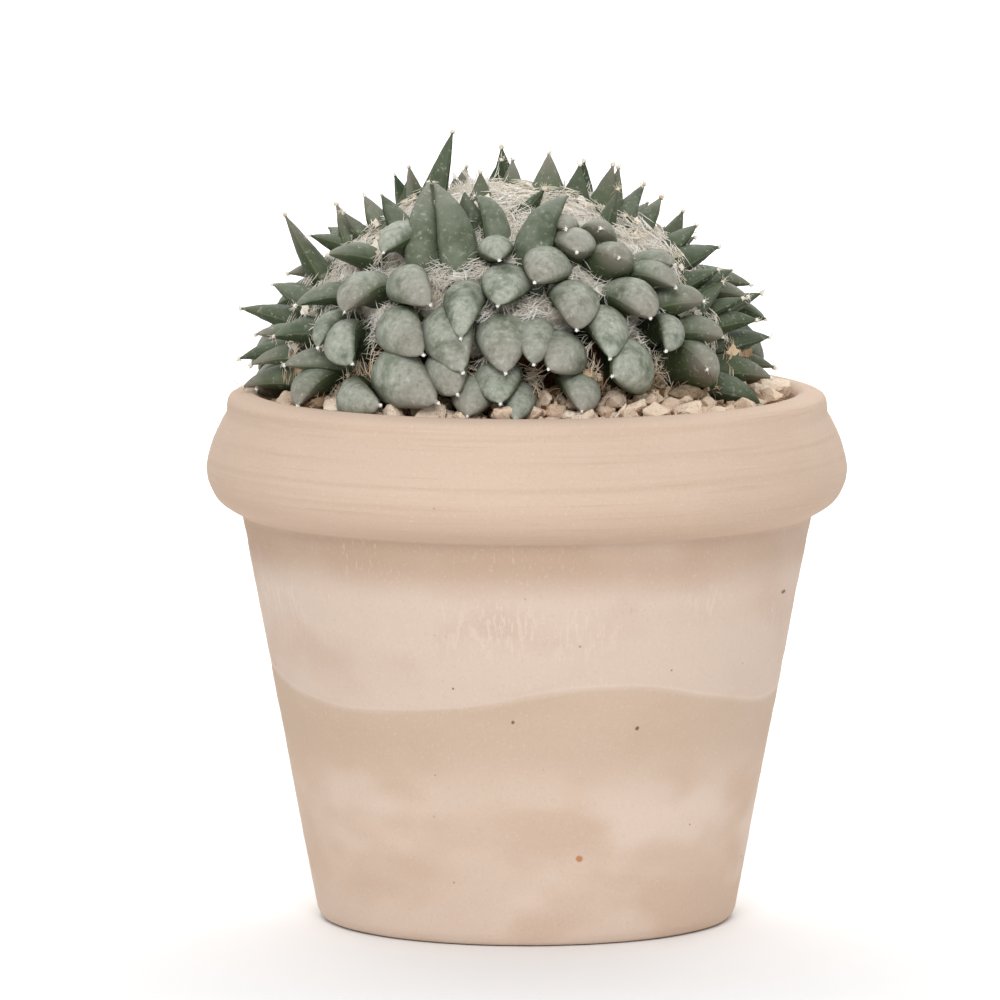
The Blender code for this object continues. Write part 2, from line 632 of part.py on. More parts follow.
def room_for(length, radius):
    """Degrees round the pot that a piece of this length takes up."""
    return math.degrees(length / radius)


def half_rank(count, radius):
    """Degrees from the middle of a rank of stones to its end."""
    return 0.5 * count * room_for(STONE_ROOM, radius)


def stone_ranks():
    """(azimuth, radius, size) of each stone: two ranks in front, one thinly spread behind."""
    chance = random.Random(STONE_SEED)
    ranks = []
    for radius, count, middle in ((OUTER_RADIUS, OUTER_RANK, 0.0), (INNER_RADIUS, INNER_RANK, INNER_TURN)):
        pitch = room_for(STONE_ROOM, radius)
        for k in range(count):
            azimuth = middle + (k - 0.5 * (count - 1)) * pitch
            ranks.append((azimuth, radius, chance.uniform(*FRONT_SHARES)))
    half_front = half_rank(OUTER_RANK, OUTER_RADIUS)
    step = 2.0 * (180.0 - half_front) / (BACK_RANK + 1)
    for k in range(BACK_RANK):
        ranks.append((half_front + (k + 1) * step, OUTER_RADIUS, chance.uniform(*BACK_SHARES)))
    return ranks


def make_dry_pieces(clearance):
    """A dropped tubercle past the inner rank's right end, and old wool past the outer one's left end."""
    husk = material("dry_husk", (0.30, 0.24, 0.17), 0.9)
    vertices, faces = dry_tubercle_shape()
    room = room_for(DRY_TUBERCLE[0] + 2.0 * GAP, INNER_RADIUS)
    azimuth = INNER_TURN + half_rank(INNER_RANK, INNER_RADIUS) + 0.5 * room
    make_loose("dry_tubercle", rest_on_bed(vertices, azimuth, INNER_RADIUS), faces, husk, clearance)

    old_wool = material("old_wool", (0.42, 0.31, 0.20), 0.97)
    vertices, faces = pebble(1.0, DRY_WOOL, DRY_WOOL_SEED)
    radius = inner_radius(BED_Z) - WALL_GAP - 0.5 * DRY_WOOL[1] * STONE_LARGEST
    room = room_for(DRY_WOOL[0] * STONE_LARGEST + 2.0 * GAP, radius)
    azimuth = -half_rank(OUTER_RANK, OUTER_RADIUS) - 0.5 * room
    make_loose("dry_wool_ball", rest_on_bed(vertices, azimuth, radius), faces, old_wool, clearance)


def main():
    for old in list(bpy.data.objects):
        bpy.data.objects.remove(old, do_unlink=True)
    tubercles = placed_tubercles()
    tubercles += spiral_tubercles(tubercles)
    print(len(tubercles), "tubercles")

    make_pot()
    make_crock()
    make_drainage()
    mix = make_potting_mix()
    bed = make_gravel_bed()

    flesh = material("glaucous_flesh", (0.20, 0.25, 0.19), 0.62)
    stem = make_clump("stem", tubercles, 0.0, flesh)
    cut(stem, make_lip_clearance())
    settle(stem)
    clearance = make_clump("stem_clearance", tubercles, GROWTH)
    hide_as_cutter(clearance)
    settle(clearance)
    cut(mix, clearance)
    cut(bed, clearance)

    wool = material("cream_wool", (0.74, 0.66, 0.54), 0.95)
    for number, (turn, climb, size) in enumerate(WOOL_CROWNS, 1):
        tuft = make_wool_crown(f"wool_crown_{number}", turn, climb, size * MM, wool)
        cut(tuft, clearance)
        settle(tuft)
    make_dry_pieces(clearance)

    pumice = material("pumice_stone", (0.64, 0.49, 0.36), 0.93)
    for number, (azimuth, radius, share) in enumerate(stone_ranks(), 1):
        vertices, faces = pebble(STONE_SIZE * share, STONE_SQUASH, number)
        standing = rest_on_bed(vertices, azimuth, radius)
        make_loose(f"pumice_stone_{number:02d}", standing, faces, pumice, clearance)


main()
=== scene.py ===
# %% [markdown]
# # A living-rock cactus in a rolled-rim terracotta pot
#
# The plant is an old clump: a round core covered with fat, pointed tubercles, with cream wool
# in the gaps between them. It stands in pumice grit in a hand-thrown pot of pale terracotta.
# The engineering model of every piece has been made already, so the first step is to load it.
# What follows builds a detailed skin for each piece in the same place and at the same size.

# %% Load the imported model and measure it
import math
import random

import bmesh
import bpy
import numpy as np
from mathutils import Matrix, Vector, noise


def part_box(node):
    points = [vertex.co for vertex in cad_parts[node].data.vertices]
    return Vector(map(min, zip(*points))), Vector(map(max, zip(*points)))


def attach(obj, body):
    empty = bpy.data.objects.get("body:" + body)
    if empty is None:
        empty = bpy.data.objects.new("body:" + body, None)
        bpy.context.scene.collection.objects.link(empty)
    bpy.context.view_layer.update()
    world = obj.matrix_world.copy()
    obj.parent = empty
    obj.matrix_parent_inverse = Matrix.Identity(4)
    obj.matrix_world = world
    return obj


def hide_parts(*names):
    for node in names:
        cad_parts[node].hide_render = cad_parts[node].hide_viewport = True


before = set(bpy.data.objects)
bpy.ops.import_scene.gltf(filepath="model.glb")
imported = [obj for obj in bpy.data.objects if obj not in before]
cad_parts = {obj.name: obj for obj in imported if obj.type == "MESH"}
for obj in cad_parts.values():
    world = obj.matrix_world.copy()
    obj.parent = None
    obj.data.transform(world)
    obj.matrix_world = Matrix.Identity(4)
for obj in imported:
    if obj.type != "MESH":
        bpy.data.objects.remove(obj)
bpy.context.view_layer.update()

print(len(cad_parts), "nodes in the frame")

MM = 0.001

# %% [markdown]
# ## Writing shaders as sums
#
# A finish is a small program: it looks up noise, compares it with a height, and mixes colours.
# Written out node by node that takes pages, so one class wraps a socket and lets Python's own
# signs add the Math nodes, and a second class holds the material they belong to. Colours never
# go through a Math node, which would turn them grey. They go through Mix instead.

# %% The two helper classes for finishes
class Flow:
    """A number or a colour on its way through a material."""

    def __init__(self, finish, socket):
        self.finish = finish
        self.socket = socket

    def math(self, operation, *values):
        return self.finish.node("ShaderNodeMath", {"operation": operation}, dict(enumerate(values)))

    def __add__(self, other):
        return self.math("ADD", self, other)

    def __sub__(self, other):
        return self.math("SUBTRACT", self, other)

    def __rsub__(self, other):
        return self.math("SUBTRACT", other, self)

    def __mul__(self, other):
        return self.math("MULTIPLY", self, other)

    def __truediv__(self, other):
        return self.math("DIVIDE", self, other)

    __radd__ = __add__
    __rmul__ = __mul__


class Finish:
    """A material being built round its Principled shader."""

    def __init__(self, name, roughness):
        self.material = bpy.data.materials.new(name)
        self.material.use_nodes = True
        self.tree = self.material.node_tree
        self.shader = self.tree.nodes["Principled BSDF"]
        self.shader.inputs["Roughness"].default_value = roughness
        self.shader.inputs["Specular IOR Level"].default_value = 0.25

    def node(self, kind, settings, sockets, output=0):
        made = self.tree.nodes.new(kind)
        for name, value in settings.items():
            if name == "stops":
                self.set_stops(made.color_ramp.elements, value)
            else:
                setattr(made, name, value)
        for place, value in sockets.items():
            if isinstance(value, Flow):
                self.tree.links.new(value.socket, made.inputs[place])
            else:
                made.inputs[place].default_value = value
        return Flow(self, made.outputs[output])

    def set_stops(self, elements, stops):
        while len(elements) < len(stops):
            elements.new(0.5)
        for element, (position, colour) in zip(elements, stops):
            element.position = position
            element.color = colour

    def place(self):
        return self.node("ShaderNodeTexCoord", {}, {}, "Object")

    def attribute(self, name):
        return self.node("ShaderNodeAttribute", {"attribute_name": name}, {}, "Fac")

    def stretched(self, vector, by):
        return self.node("ShaderNodeVectorMath", {"operation": "MULTIPLY"}, {0: vector, 1: by})

    def noise(self, scale, vector, detail=3.0, roughness=0.5):
        sockets = {"Vector": vector, "Scale": scale, "Detail": detail, "Roughness": roughness}
        return self.node("ShaderNodeTexNoise", {}, sockets, "Fac")

    def ramp(self, value, low, high):
        """0 up to low, 1 from high on, and smooth between them. low may be the larger."""
        sockets = {"Value": value, "From Min": low, "From Max": high}
        return self.node("ShaderNodeMapRange", {"interpolation_type": "SMOOTHSTEP"}, sockets)

    def mix(self, share, first, second):
        """The first colour where share is 0 and the second where it is 1."""
        sockets = {0: share, 6: first, 7: second}
        return self.node("ShaderNodeMix", {"data_type": "RGBA"}, sockets, 2)

    def connect(self, socket, value):
        self.tree.links.new(value.socket, self.shader.inputs[socket])

    def bump(self, height, strength, distance):
        sockets = {"Height": height, "Strength": strength, "Distance": distance}
        self.connect("Normal", self.node("ShaderNodeBump", {}, sockets))


def colour(red, green, blue):
    """A colour as it looks on a screen, from 0 to 255, as the linear light that shaders use."""
    linear = []
    for part in (red, green, blue):
        share = part / 255.0
        linear.append(share / 12.92 if share <= 0.04045 else ((share + 0.055) / 1.055) ** 2.4)
    return (*linear, 1.0)


# %% [markdown]
# ## Turning arrays of points into pieces
#
# Most pieces here are grids of points worked out with numpy. One function turns such arrays into a mesh,
# shades it smooth, gives it its finish, tells the frame which body it rides on, and hides the plain model
# piece it stands for.

# %% The function every piece goes through
def add_piece(name, points, faces, finish, replaces=(), attributes=None):
    mesh = bpy.data.meshes.new(name)
    mesh.from_pydata(np.asarray(points).tolist(), [], [tuple(face) for face in faces])
    for label, values in (attributes or {}).items():
        layer = mesh.attributes.new(label, "FLOAT", "POINT")
        layer.data.foreach_set("value", np.asarray(values, np.float32))
    mesh.shade_smooth()
    mesh.materials.append(finish.material)
    piece = bpy.data.objects.new(name, mesh)
    bpy.context.scene.collection.objects.link(piece)
    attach(piece, "root")
    if replaces:
        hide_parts(*replaces)
    print(f"{name}: {len(mesh.vertices)} points, {len(mesh.polygons)} faces")
    return piece


def unit(vectors):
    """Vectors of length 1, for one vector or a whole array of them."""
    vectors = np.asarray(vectors, float)
    return vectors / np.maximum(np.linalg.norm(vectors, axis=-1, keepdims=True), 1e-12)


def grid_faces(rows, columns, closed=True):
    """Quads over a grid of points stored row by row, joined round at the ends if closed."""
    faces = []
    for row in range(rows - 1):
        for column in range(columns if closed else columns - 1):
            following = (column + 1) % columns
            faces.append((row * columns + column, row * columns + following,
                          (row + 1) * columns + following, (row + 1) * columns + column))
    return faces


# %% [markdown]
# ## The pot's shape
#
# A thrown pot is a solid of revolution, so its wall is one outline turned about the upright axis.
# The rim was rolled over by hand: a soft bulge with a small step under the lip. A few measured
# points give it, and a Catmull-Rom curve through them keeps it soft. Turning a Screw modifier
# would be enough for a perfect pot, but this one was made by hand, so the points are turned in
# numpy, where each can be moved a little: slow waves that put it slightly out of round, and
# shallow ridges where the fingers went up the wall.

# %% Pot outline
pot_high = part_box("pot")[1]
RIM_RADIUS = pot_high.x
POT_HEIGHT = pot_high.z
RIM_HEIGHT = 0.046
RIM_OVERHANG = 0.0133
FOOT_RADIUS = 0.078
FOOT_ROUNDING = 0.004
WALL = 0.009
LIP_WIDTH = 0.0062
FLOOR_THICKNESS = 0.012
DRAIN_RADIUS = 0.011
MOUTH_RADIUS = RIM_RADIUS - RIM_OVERHANG - LIP_WIDTH
BODY_TOP_RADIUS = RIM_RADIUS - RIM_OVERHANG
BODY_TOP_Z = POT_HEIGHT - RIM_HEIGHT
# (share of the overhang still missing, share of the rim's height below the crest)
RIM_POINTS = ((0.66, 0.04), (0.57, 0.11), (0.56, 0.18), (0.42, 0.25), (0.24, 0.36),
              (0.09, 0.48), (0.0, 0.63), (0.09, 0.76), (0.38, 0.89), (0.93, 0.99))


def outer_radius(height):
    """Outside of the straight body."""
    return FOOT_RADIUS + (BODY_TOP_RADIUS - FOOT_RADIUS) * height / BODY_TOP_Z


def inner_radius(height):
    """Inside of the pot, one straight cone from floor to mouth."""
    floor = outer_radius(FLOOR_THICKNESS) - WALL
    climb = (height - FLOOR_THICKNESS) / (POT_HEIGHT - FLOOR_THICKNESS)
    return floor + (MOUTH_RADIUS - floor) * climb


def soft_curve(points, step):
    """Points every step along a Catmull-Rom curve through these."""
    points = np.array(points)
    padded = np.vstack((2 * points[0] - points[1], points, 2 * points[-1] - points[-2]))
    found = []
    for before, start, end, after in zip(padded, padded[1:], padded[2:], padded[3:]):
        count = max(2, int(np.linalg.norm(end - start) / step))
        for t in np.arange(count) / count:
            found.append(0.5 * (2 * start + (end - before) * t
                                + (2 * before - 5 * start + 4 * end - after) * t ** 2
                                + (3 * start - before - 3 * end + after) * t ** 3))
    return found + [points[-1]]


def straight(start, end, step):
    """Points every step along a straight run, without its last one."""
    count = max(1, int(np.linalg.norm(np.subtract(end, start)) / step))
    return [np.array(start) + (np.array(end) - start) * t for t in np.arange(count) / count]


lip = [(MOUTH_RADIUS, POT_HEIGHT - 0.006), (MOUTH_RADIUS, POT_HEIGHT - 0.0025),
       (MOUTH_RADIUS + 0.4 * LIP_WIDTH, POT_HEIGHT), (MOUTH_RADIUS + 0.9 * LIP_WIDTH, POT_HEIGHT)]
rim = [(RIM_RADIUS - missing * RIM_OVERHANG, POT_HEIGHT - below * RIM_HEIGHT)
       for missing, below in RIM_POINTS]
body_top = (BODY_TOP_RADIUS, BODY_TOP_Z)
foot_top = (outer_radius(FOOT_ROUNDING), FOOT_ROUNDING)
foot = [foot_top, (FOOT_RADIUS - 0.25 * FOOT_ROUNDING, 0.25 * FOOT_ROUNDING),
        (FOOT_RADIUS - FOOT_ROUNDING, 0.0)]
inner_floor = (outer_radius(FLOOR_THICKNESS) - WALL, FLOOR_THICKNESS)
outline = soft_curve(lip + rim, 0.0012) + straight(body_top, foot_top, 0.0016)
outline += soft_curve(foot, 0.001) + straight((DRAIN_RADIUS, 0.0), (DRAIN_RADIUS, FLOOR_THICKNESS), 0.004)
outline += straight((DRAIN_RADIUS, FLOOR_THICKNESS), inner_floor, 0.01)
outline += straight(inner_floor, lip[0], 0.008)
outline = np.array(outline)
print("pot outline:", len(outline), "points")

# %% Turn the outline, with the marks of the hand
POT_TURNS = 288


def ring_marks(height, reach):
    """Shallow ridges from the fingers, stronger on the rolled rim than on the wiped body."""
    heights = [Vector((0.0, 0.0, h)) for h in height]
    fine = np.array([noise.noise(h * 620.0) for h in heights])
    broad = np.array([noise.noise(h * 150.0) for h in heights])
    on_rim = height > BODY_TOP_Z
    return np.where(reach > 0.07, np.where(on_rim, 0.00013, 0.00005) * fine + 0.0002 * broad, 0.0)


turns = np.arange(POT_TURNS) * 2.0 * math.pi / POT_TURNS
radius, height = outline[:, 0], outline[:, 1]
radius = radius + ring_marks(height, radius)
pot_points = np.empty((len(outline), POT_TURNS, 3))
for column, turn in enumerate(turns):
    side = Vector((math.sin(turn), -math.cos(turn), 0.0))
    sway = np.array([noise.noise(side * 1.3 + Vector((0.0, 0.0, 9.0 * z))) for z in height])
    knock = np.array([noise.noise(side * 7.0 + Vector((4.0, 0.0, 38.0 * z))) for z in height])
    outer = np.clip((radius - 0.05) / 0.02, 0.0, 1.0)
    moved = radius - outer * (0.0007 * (0.5 - 0.5 * sway) + 0.00022 * (1.0 + knock))
    pot_points[:, column] = np.stack((moved * side.x, moved * side.y, height), axis=1)
pot_faces = [face[::-1] for face in grid_faces(len(outline), POT_TURNS)]
last = (len(outline) - 1) * POT_TURNS
for column in range(POT_TURNS):
    following = (column + 1) % POT_TURNS
    pot_faces.append((column, following, last + following, last + column))

# %% [markdown]
# ## The clay's finish
#
# Pale terracotta is never one colour. Here the rim keeps the fine lines of throwing and a warm
# tan. Lime and salt that came through the wall have left a pale, pinkish bloom over the upper
# body, thin enough for the clay to show through in specks and short downward streaks. A wavy
# tide line ends it at about half height, and below the clay is tanner, with soft clouds. Every
# one of these is a mask made of height and noise in real metres, mixed over the last.

# %% Terracotta
TIDE_HEIGHT = 0.0925
clay = Finish("terracotta", 0.86)
where = clay.place()
east = clay.node("ShaderNodeSeparateXYZ", {}, {0: where}, 0)
north = clay.node("ShaderNodeSeparateXYZ", {}, {0: where}, 1)
level = clay.node("ShaderNodeSeparateXYZ", {}, {0: where}, 2)
azimuth = east.math("ARCTAN2", east, 0.0 - north)

clouds = clay.noise(11.0, where, 3.0, 0.55)
warm_clouds = clay.noise(21.0, clay.stretched(where, (1.0, 1.0, 1.7)), 2.0)
grain = clay.noise(900.0, where, 2.0, 0.6)
streaks = clay.noise(620.0, clay.stretched(where, (1.0, 1.0, 0.16)), 3.0, 0.65)
pale_tan = clay.mix(clay.ramp(clouds, 0.35, 0.65), colour(217, 195, 177), colour(225, 204, 188))
lower = clay.mix(clay.ramp(warm_clouds, 0.38, 0.66), pale_tan, colour(211, 186, 165))
lower = clay.mix(clay.ramp(level + 0.02 * (clouds - 0.5), 0.050, 0.078) * 0.75, lower, colour(199, 175, 153))
bloomed = clay.mix(clay.ramp(warm_clouds, 0.42, 0.70), colour(216, 196, 180), colour(209, 185, 168))

ripple = 0.0045 * (azimuth * 3.1 + 0.6).math("SINE", azimuth * 3.1 + 0.6)
wander = 0.012 * (clay.noise(13.0, where, 1.0) - 0.5)
tide = level - (TIDE_HEIGHT + ripple + wander)
body = clay.mix(clay.ramp(tide, -0.0004, 0.0010), lower, bloomed)
tide_mark = clay.ramp(tide, -0.0022, 0.0) * clay.ramp(tide, 0.0016, 0.0004)
body = clay.mix(tide_mark * 0.30 * clay.ramp(clouds, 0.30, 0.6), body, colour(232, 218, 206))

# pale salt, broken up where the clay shows through
salt_band = clay.ramp(level, 0.104, 0.119) * clay.ramp(level, 0.139, 0.126)
salt_patch = clay.ramp(clay.noise(16.0, where, 2.0), 0.44, 0.60)
salt = salt_band * salt_patch * clay.ramp(streaks, 0.50, 0.60)
body = clay.mix(salt * 0.40, body, colour(232, 217, 203))
bare = clay.ramp(level, 0.108, 0.121) * clay.ramp(level, 0.137, 0.128) * clay.ramp(streaks, 0.63, 0.70)
body = clay.mix(bare * 0.30, body, colour(190, 162, 138))

# below the rim, painted shade under the rim's overhang makes the wall a darker tan, and the bloom runs down
# it in drips
under_rim_shade = clay.ramp(level, 0.128, 0.145)
body = clay.mix(under_rim_shade * (0.55 + 0.35 * clay.ramp(clouds, 0.32, 0.55)), body, colour(188, 161, 139))
drips = under_rim_shade * clay.ramp(streaks, 0.58, 0.70) * clay.ramp(clouds, 0.45, 0.6)
body = clay.mix(drips * 0.40, body, colour(228, 211, 197))

# the rim, with its lines of throwing
on_rim = clay.ramp(level, BODY_TOP_Z - 0.0005, BODY_TOP_Z + 0.0015)
lines = clay.noise(1.0, clay.stretched(where, (16.0, 16.0, 950.0)), 3.0, 0.6)
long_lines = clay.noise(1.0, clay.stretched(where, (5.0, 5.0, 260.0)), 2.0)
rim_clay = clay.mix(clay.ramp(clouds, 0.3, 0.7), colour(207, 183, 163), colour(215, 191, 171))
rim_clay = clay.mix(clay.ramp(long_lines, 0.5, 0.72) * 0.4, rim_clay, colour(197, 171, 149))
rim_clay = clay.mix(clay.ramp(lines, 0.60, 0.74) * 0.30, rim_clay, colour(190, 160, 134))
rim_clay = clay.mix(clay.ramp(lines, 0.36, 0.25) * 0.30, rim_clay, colour(228, 210, 192))
# painted shade: the underside of the rolled rim faces down and is painted a darker tan
under_roll_shade = clay.ramp(level, BODY_TOP_Z + 0.020, BODY_TOP_Z + 0.004)
rim_clay = clay.mix(under_roll_shade * 0.6, rim_clay, colour(199, 172, 150))
skin = clay.mix(on_rim, body, rim_clay)

# small iron specks, a few rust spots, and the fine grain
cell = {"Vector": where, "Scale": 150.0}
speck = clay.node("ShaderNodeTexVoronoi", {}, cell, "Distance")
chosen = clay.node("ShaderNodeTexVoronoi", {}, cell, "Color")
few = clay.node("ShaderNodeSeparateColor", {}, {0: chosen}, 0)
dark = clay.ramp(speck, 0.10, 0.05) * clay.ramp(few, 0.90, 0.93)
skin = clay.mix(dark * 0.8, skin, colour(116, 82, 60))
for across, up, size, shade in ((0.0193, 0.0335, 0.0016, colour(190, 120, 74)),
                                (0.0405, 0.0822, 0.0009, colour(92, 70, 56)),
                                (-0.005, 0.0857, 0.0008, colour(104, 80, 62)),
                                (0.095, 0.1265, 0.0010, colour(110, 84, 64))):
    sideways, upwards = east - across, level - up
    apart = clay.node("ShaderNodeVectorMath", {"operation": "LENGTH"},
                      {0: clay.node("ShaderNodeCombineXYZ", {}, {0: sideways, 1: upwards})}, "Value")
    spot = clay.ramp(apart + 0.0012 * (grain - 0.5), size, 0.5 * size) * clay.ramp(north, 0.0, -0.01)
    skin = clay.mix(spot * 0.85, skin, shade)
skin = clay.mix(clay.ramp(grain, 0.58, 0.72) * 0.16, skin, colour(182, 153, 130))
skin = clay.mix(clay.ramp(grain, 0.42, 0.28) * 0.16, skin, colour(240, 226, 212))
clay.connect("Base Color", skin)
clay.bump(lines * on_rim * 0.6 + grain * 0.35 + streaks * 0.25, 0.5, 0.0006)
add_piece("terracotta_pot", pot_points.reshape(-1, 3), pot_faces, clay, ("pot",))

# %% [markdown]
# ## Where the tubercles stand
#
# A cactus of this kind has no ribs. Its skin is broken into tubercles, each a swollen leaf base
# that ends in a small woolly point. On the side that is seen they have been placed one by one,
# by the direction of the tip and of the widest part, as angles on the dome. On the far side they
# follow a sunflower spiral, which is how the plant itself packs them.

# %% The dome's own measures
BED_Z = POT_HEIGHT - 0.008
PLANT = np.array((-0.006, 0.002, BED_Z + 0.005))
DOME_RADIUS = MOUTH_RADIUS - 0.0001
CORE_RADIUS = DOME_RADIUS - 0.030
DOME_HEIGHT = 0.0905
CORE_HEIGHT = 0.066
ROOT_DEPTH = 0.97               # roots start just inside the core
FACE_DEPTH = 0.92
BELLY_BEHIND = 0.009            # a belly's middle lies this far behind the face it shows


def on_dome(azimuth, elevation, radius, height):
    """A point on an ellipsoid round the plant. Azimuth 0 is the front, and + goes to the right."""
    turn, climb = np.radians(azimuth), np.radians(elevation)
    across = radius * np.cos(climb)
    return PLANT + np.stack((across * np.sin(turn), -across * np.cos(turn), height * np.sin(climb)), axis=-1)


# %% The tubercles placed one by one
# (tip azimuth, tip elevation, belly azimuth, belly elevation, width in mm)
FACING = (
    (-19, 28, -30, 35, 16), (-19, 16, -29, 23, 18), (-15, 5, -27, 11, 21), (-10, 12, -16, 23, 20),
    (-11, 20, -12, 32, 15), (-11, 7, -15, 13, 18), (-9, 2, -8, 7, 16), (-3, 28, -1, 36, 18),
    (-1, 12, -2, 22, 19), (-2, 5, -3, 11, 17), (-3, 40, -5, 46, 13), (5, 14, 6, 22, 15),
    (6, 34, 11, 41, 18), (8, 13, 13, 17, 18), (15, 22, 17, 31, 18), (22, 15, 24, 24, 16),
    (22, 11, 29, 13, 21), (34, 24, 33, 31, 18), (19, 42, 21, 47, 17), (31, 40, 31, 41, 17),
    (30, 49, 33, 50, 15), (18, 49, 20, 55, 14), (36, 16, 42, 22, 12), (55, 18, 53, 21, 16),
    (47, 11, 49, 12, 20), (53, 27, 48, 30, 17), (67, 1, 63, 5, 16), (76, 6, 70, 9, 15),
    (84, 15, 75, 15, 14), (76, 20, 70, 22, 14), (66, 31, 59, 27, 15), (68, 34, 62, 34, 14),
    (73, 26, 67, 25, 11), (45, 31, 43, 38, 14), (49, 37, 46, 41, 14), (-84, 3, -72, 6, 15),
    (-77, 9, -69, 14, 13), (-66, 17, -63, 21, 16), (-88, 28, -68, 27, 15), (-61, 25, -58, 34, 14),
    (-42, 25, -43, 33, 17), (-47, 16, -51, 24, 12), (-36, 13, -44, 19, 16), (-51, 2, -54, 8, 17),
    (-28, 4, -38, 4, 17), (-60, 39, -56, 46, 15), (-38, 41, -39, 49, 15), (-22, 63, -16, 58, 13),
    (84, 39, 63, 42, 15), (78, 33, 68, 33, 14), (84, 46, 71, 46, 13),
    (88, 56, 70, 54, 12), (85, 61, 57, 57, 12), (-85, 57, -72, 54, 13), (-68, 59, -50, 54, 14),
    (-80, 16, -76, 19, 12), (-80, 51, -76, 50, 10), (-58, 11, -50, 13, 14), (1, 1, 2, 6, 12),
    (15, 3, 16, 8, 15),
)
# (tip azimuth, tip elevation, reach beyond the dome, root azimuth, root elevation, width in mm)
STANDING = (
    (-90, 42, 1.13, -90, 27, 15), (-90, 79, 1.12, -75, 57, 14), (-173, 74, 1.05, 180, 60, 14),
    (176, 84, 0.98, 0, 78, 11), (90, 82, 1.02, 30, 68, 16), (23, 70, 0.95, -10, 66, 14),
    (80, 75, 1.00, 50, 66, 14), (75, 68, 1.05, 55, 60, 15), (80, 67, 1.04, 65, 58, 14),
    (53, 61, 1.02, 45, 52, 14), (-28, 76, 0.98, -20, 64, 14), (-90, 20, 1.07, -86, 20, 15),
    (-90, 51, 1.03, -80, 42, 16), (-118, 65, 1.00, -100, 56, 14), (-96, 8, 1.03, -92, 12, 15),
    (96, 24, 1.03, 90, 22, 14), (98, 6, 1.00, 92, 8, 15), (95, 50, 1.00, 84, 42, 15),
)
# leaf-like ones in front of the crown: as FACING, with their own plumpness at the end
LEAVES = (
    (-48, 66, -33, 50, 13, 0.2), (-44, 66, -20, 51, 15, 0.2), (26, 61, 9, 50, 16, 0.3),
    (-16, 61, -6, 55, 12, 0.3),
)
LEAF_RISE = 15.0                # degrees from a leaf's root up to its belly


def on_core(point):
    """Where the line from the dome's centre to a point leaves the core."""
    away = point - PLANT
    return PLANT + away * ROOT_DEPTH / np.linalg.norm(away / (CORE_RADIUS, CORE_RADIUS, CORE_HEIGHT))


def plumpness(turn, climb):
    """1 for the broad shields low in front, falling towards horns at the sides and the top."""
    in_front = min(1.0, max(0.0, (64.0 - abs(turn)) / 24.0))
    low_down = min(1.0, max(0.0, (60.0 - climb) / 16.0))
    return 0.18 + 0.82 * in_front * low_down


def placed_tubercles():
    """(root, belly, tip, width, plumpness) of each tubercle in the lists."""
    placed = []
    for tip_turn, tip_climb, belly_turn, belly_climb, width in FACING:
        tip = on_dome(tip_turn, tip_climb, DOME_RADIUS, DOME_HEIGHT)
        belly = on_dome(belly_turn, belly_climb, DOME_RADIUS * FACE_DEPTH, DOME_HEIGHT * FACE_DEPTH)
        frontal = math.cos(math.radians(belly_turn)) * math.cos(math.radians(belly_climb))
        belly[1] += BELLY_BEHIND * frontal
        root = on_core(belly)
        plump = plumpness(tip_turn, tip_climb)
        placed.append((root, plump * belly + (1.0 - plump) * bowed(root, tip), tip, width * MM, plump))
    for tip_turn, tip_climb, belly_turn, belly_climb, width, plump in LEAVES:
        tip = on_dome(tip_turn, tip_climb, DOME_RADIUS, DOME_HEIGHT)
        belly = on_dome(belly_turn, belly_climb, DOME_RADIUS * FACE_DEPTH, DOME_HEIGHT * FACE_DEPTH)
        below = on_dome(belly_turn, belly_climb - LEAF_RISE, DOME_RADIUS, DOME_HEIGHT)
        placed.append((on_core(below), belly, tip, width * MM, plump))
    for tip_turn, tip_climb, reach, root_turn, root_climb, width in STANDING:
        tip = on_dome(tip_turn, tip_climb, DOME_RADIUS * reach, DOME_HEIGHT * reach)
        root = on_dome(root_turn, root_climb, CORE_RADIUS * ROOT_DEPTH, CORE_HEIGHT * ROOT_DEPTH)
        placed.append((root, bowed(root, tip), tip, width * MM, 0.0))
    return placed


def bowed(root, tip):
    """The middle of a tubercle that stands out from the dome: it bows a little upwards."""
    rise = (tip[2] - root[2]) / np.linalg.norm(tip - root)
    return 0.5 * (root + tip) + np.array((0.0, 0.0, (0.10 - 0.16 * max(0.0, rise)) * 0.03))


# %% The rest, along a sunflower spiral
# centres of the woolly growing points: (azimuth, elevation, radius in mm)
WOOL_CROWNS = ((-88, 80, 8.5), (94, 74, 7.5), (152, 62, 7.5), (-165, 34, 6.5))
SPIRAL_COUNT = 170
SPIRAL_LOWEST = 5
SPIRAL_HIGHEST = 74
ROOT_SPACING = 0.0105
GOLDEN_ANGLE = 137.508
SPIRAL_SPREAD = 104.0
HAND_PLACED_TOP = 70.0
WOOL_FREE = 0.004


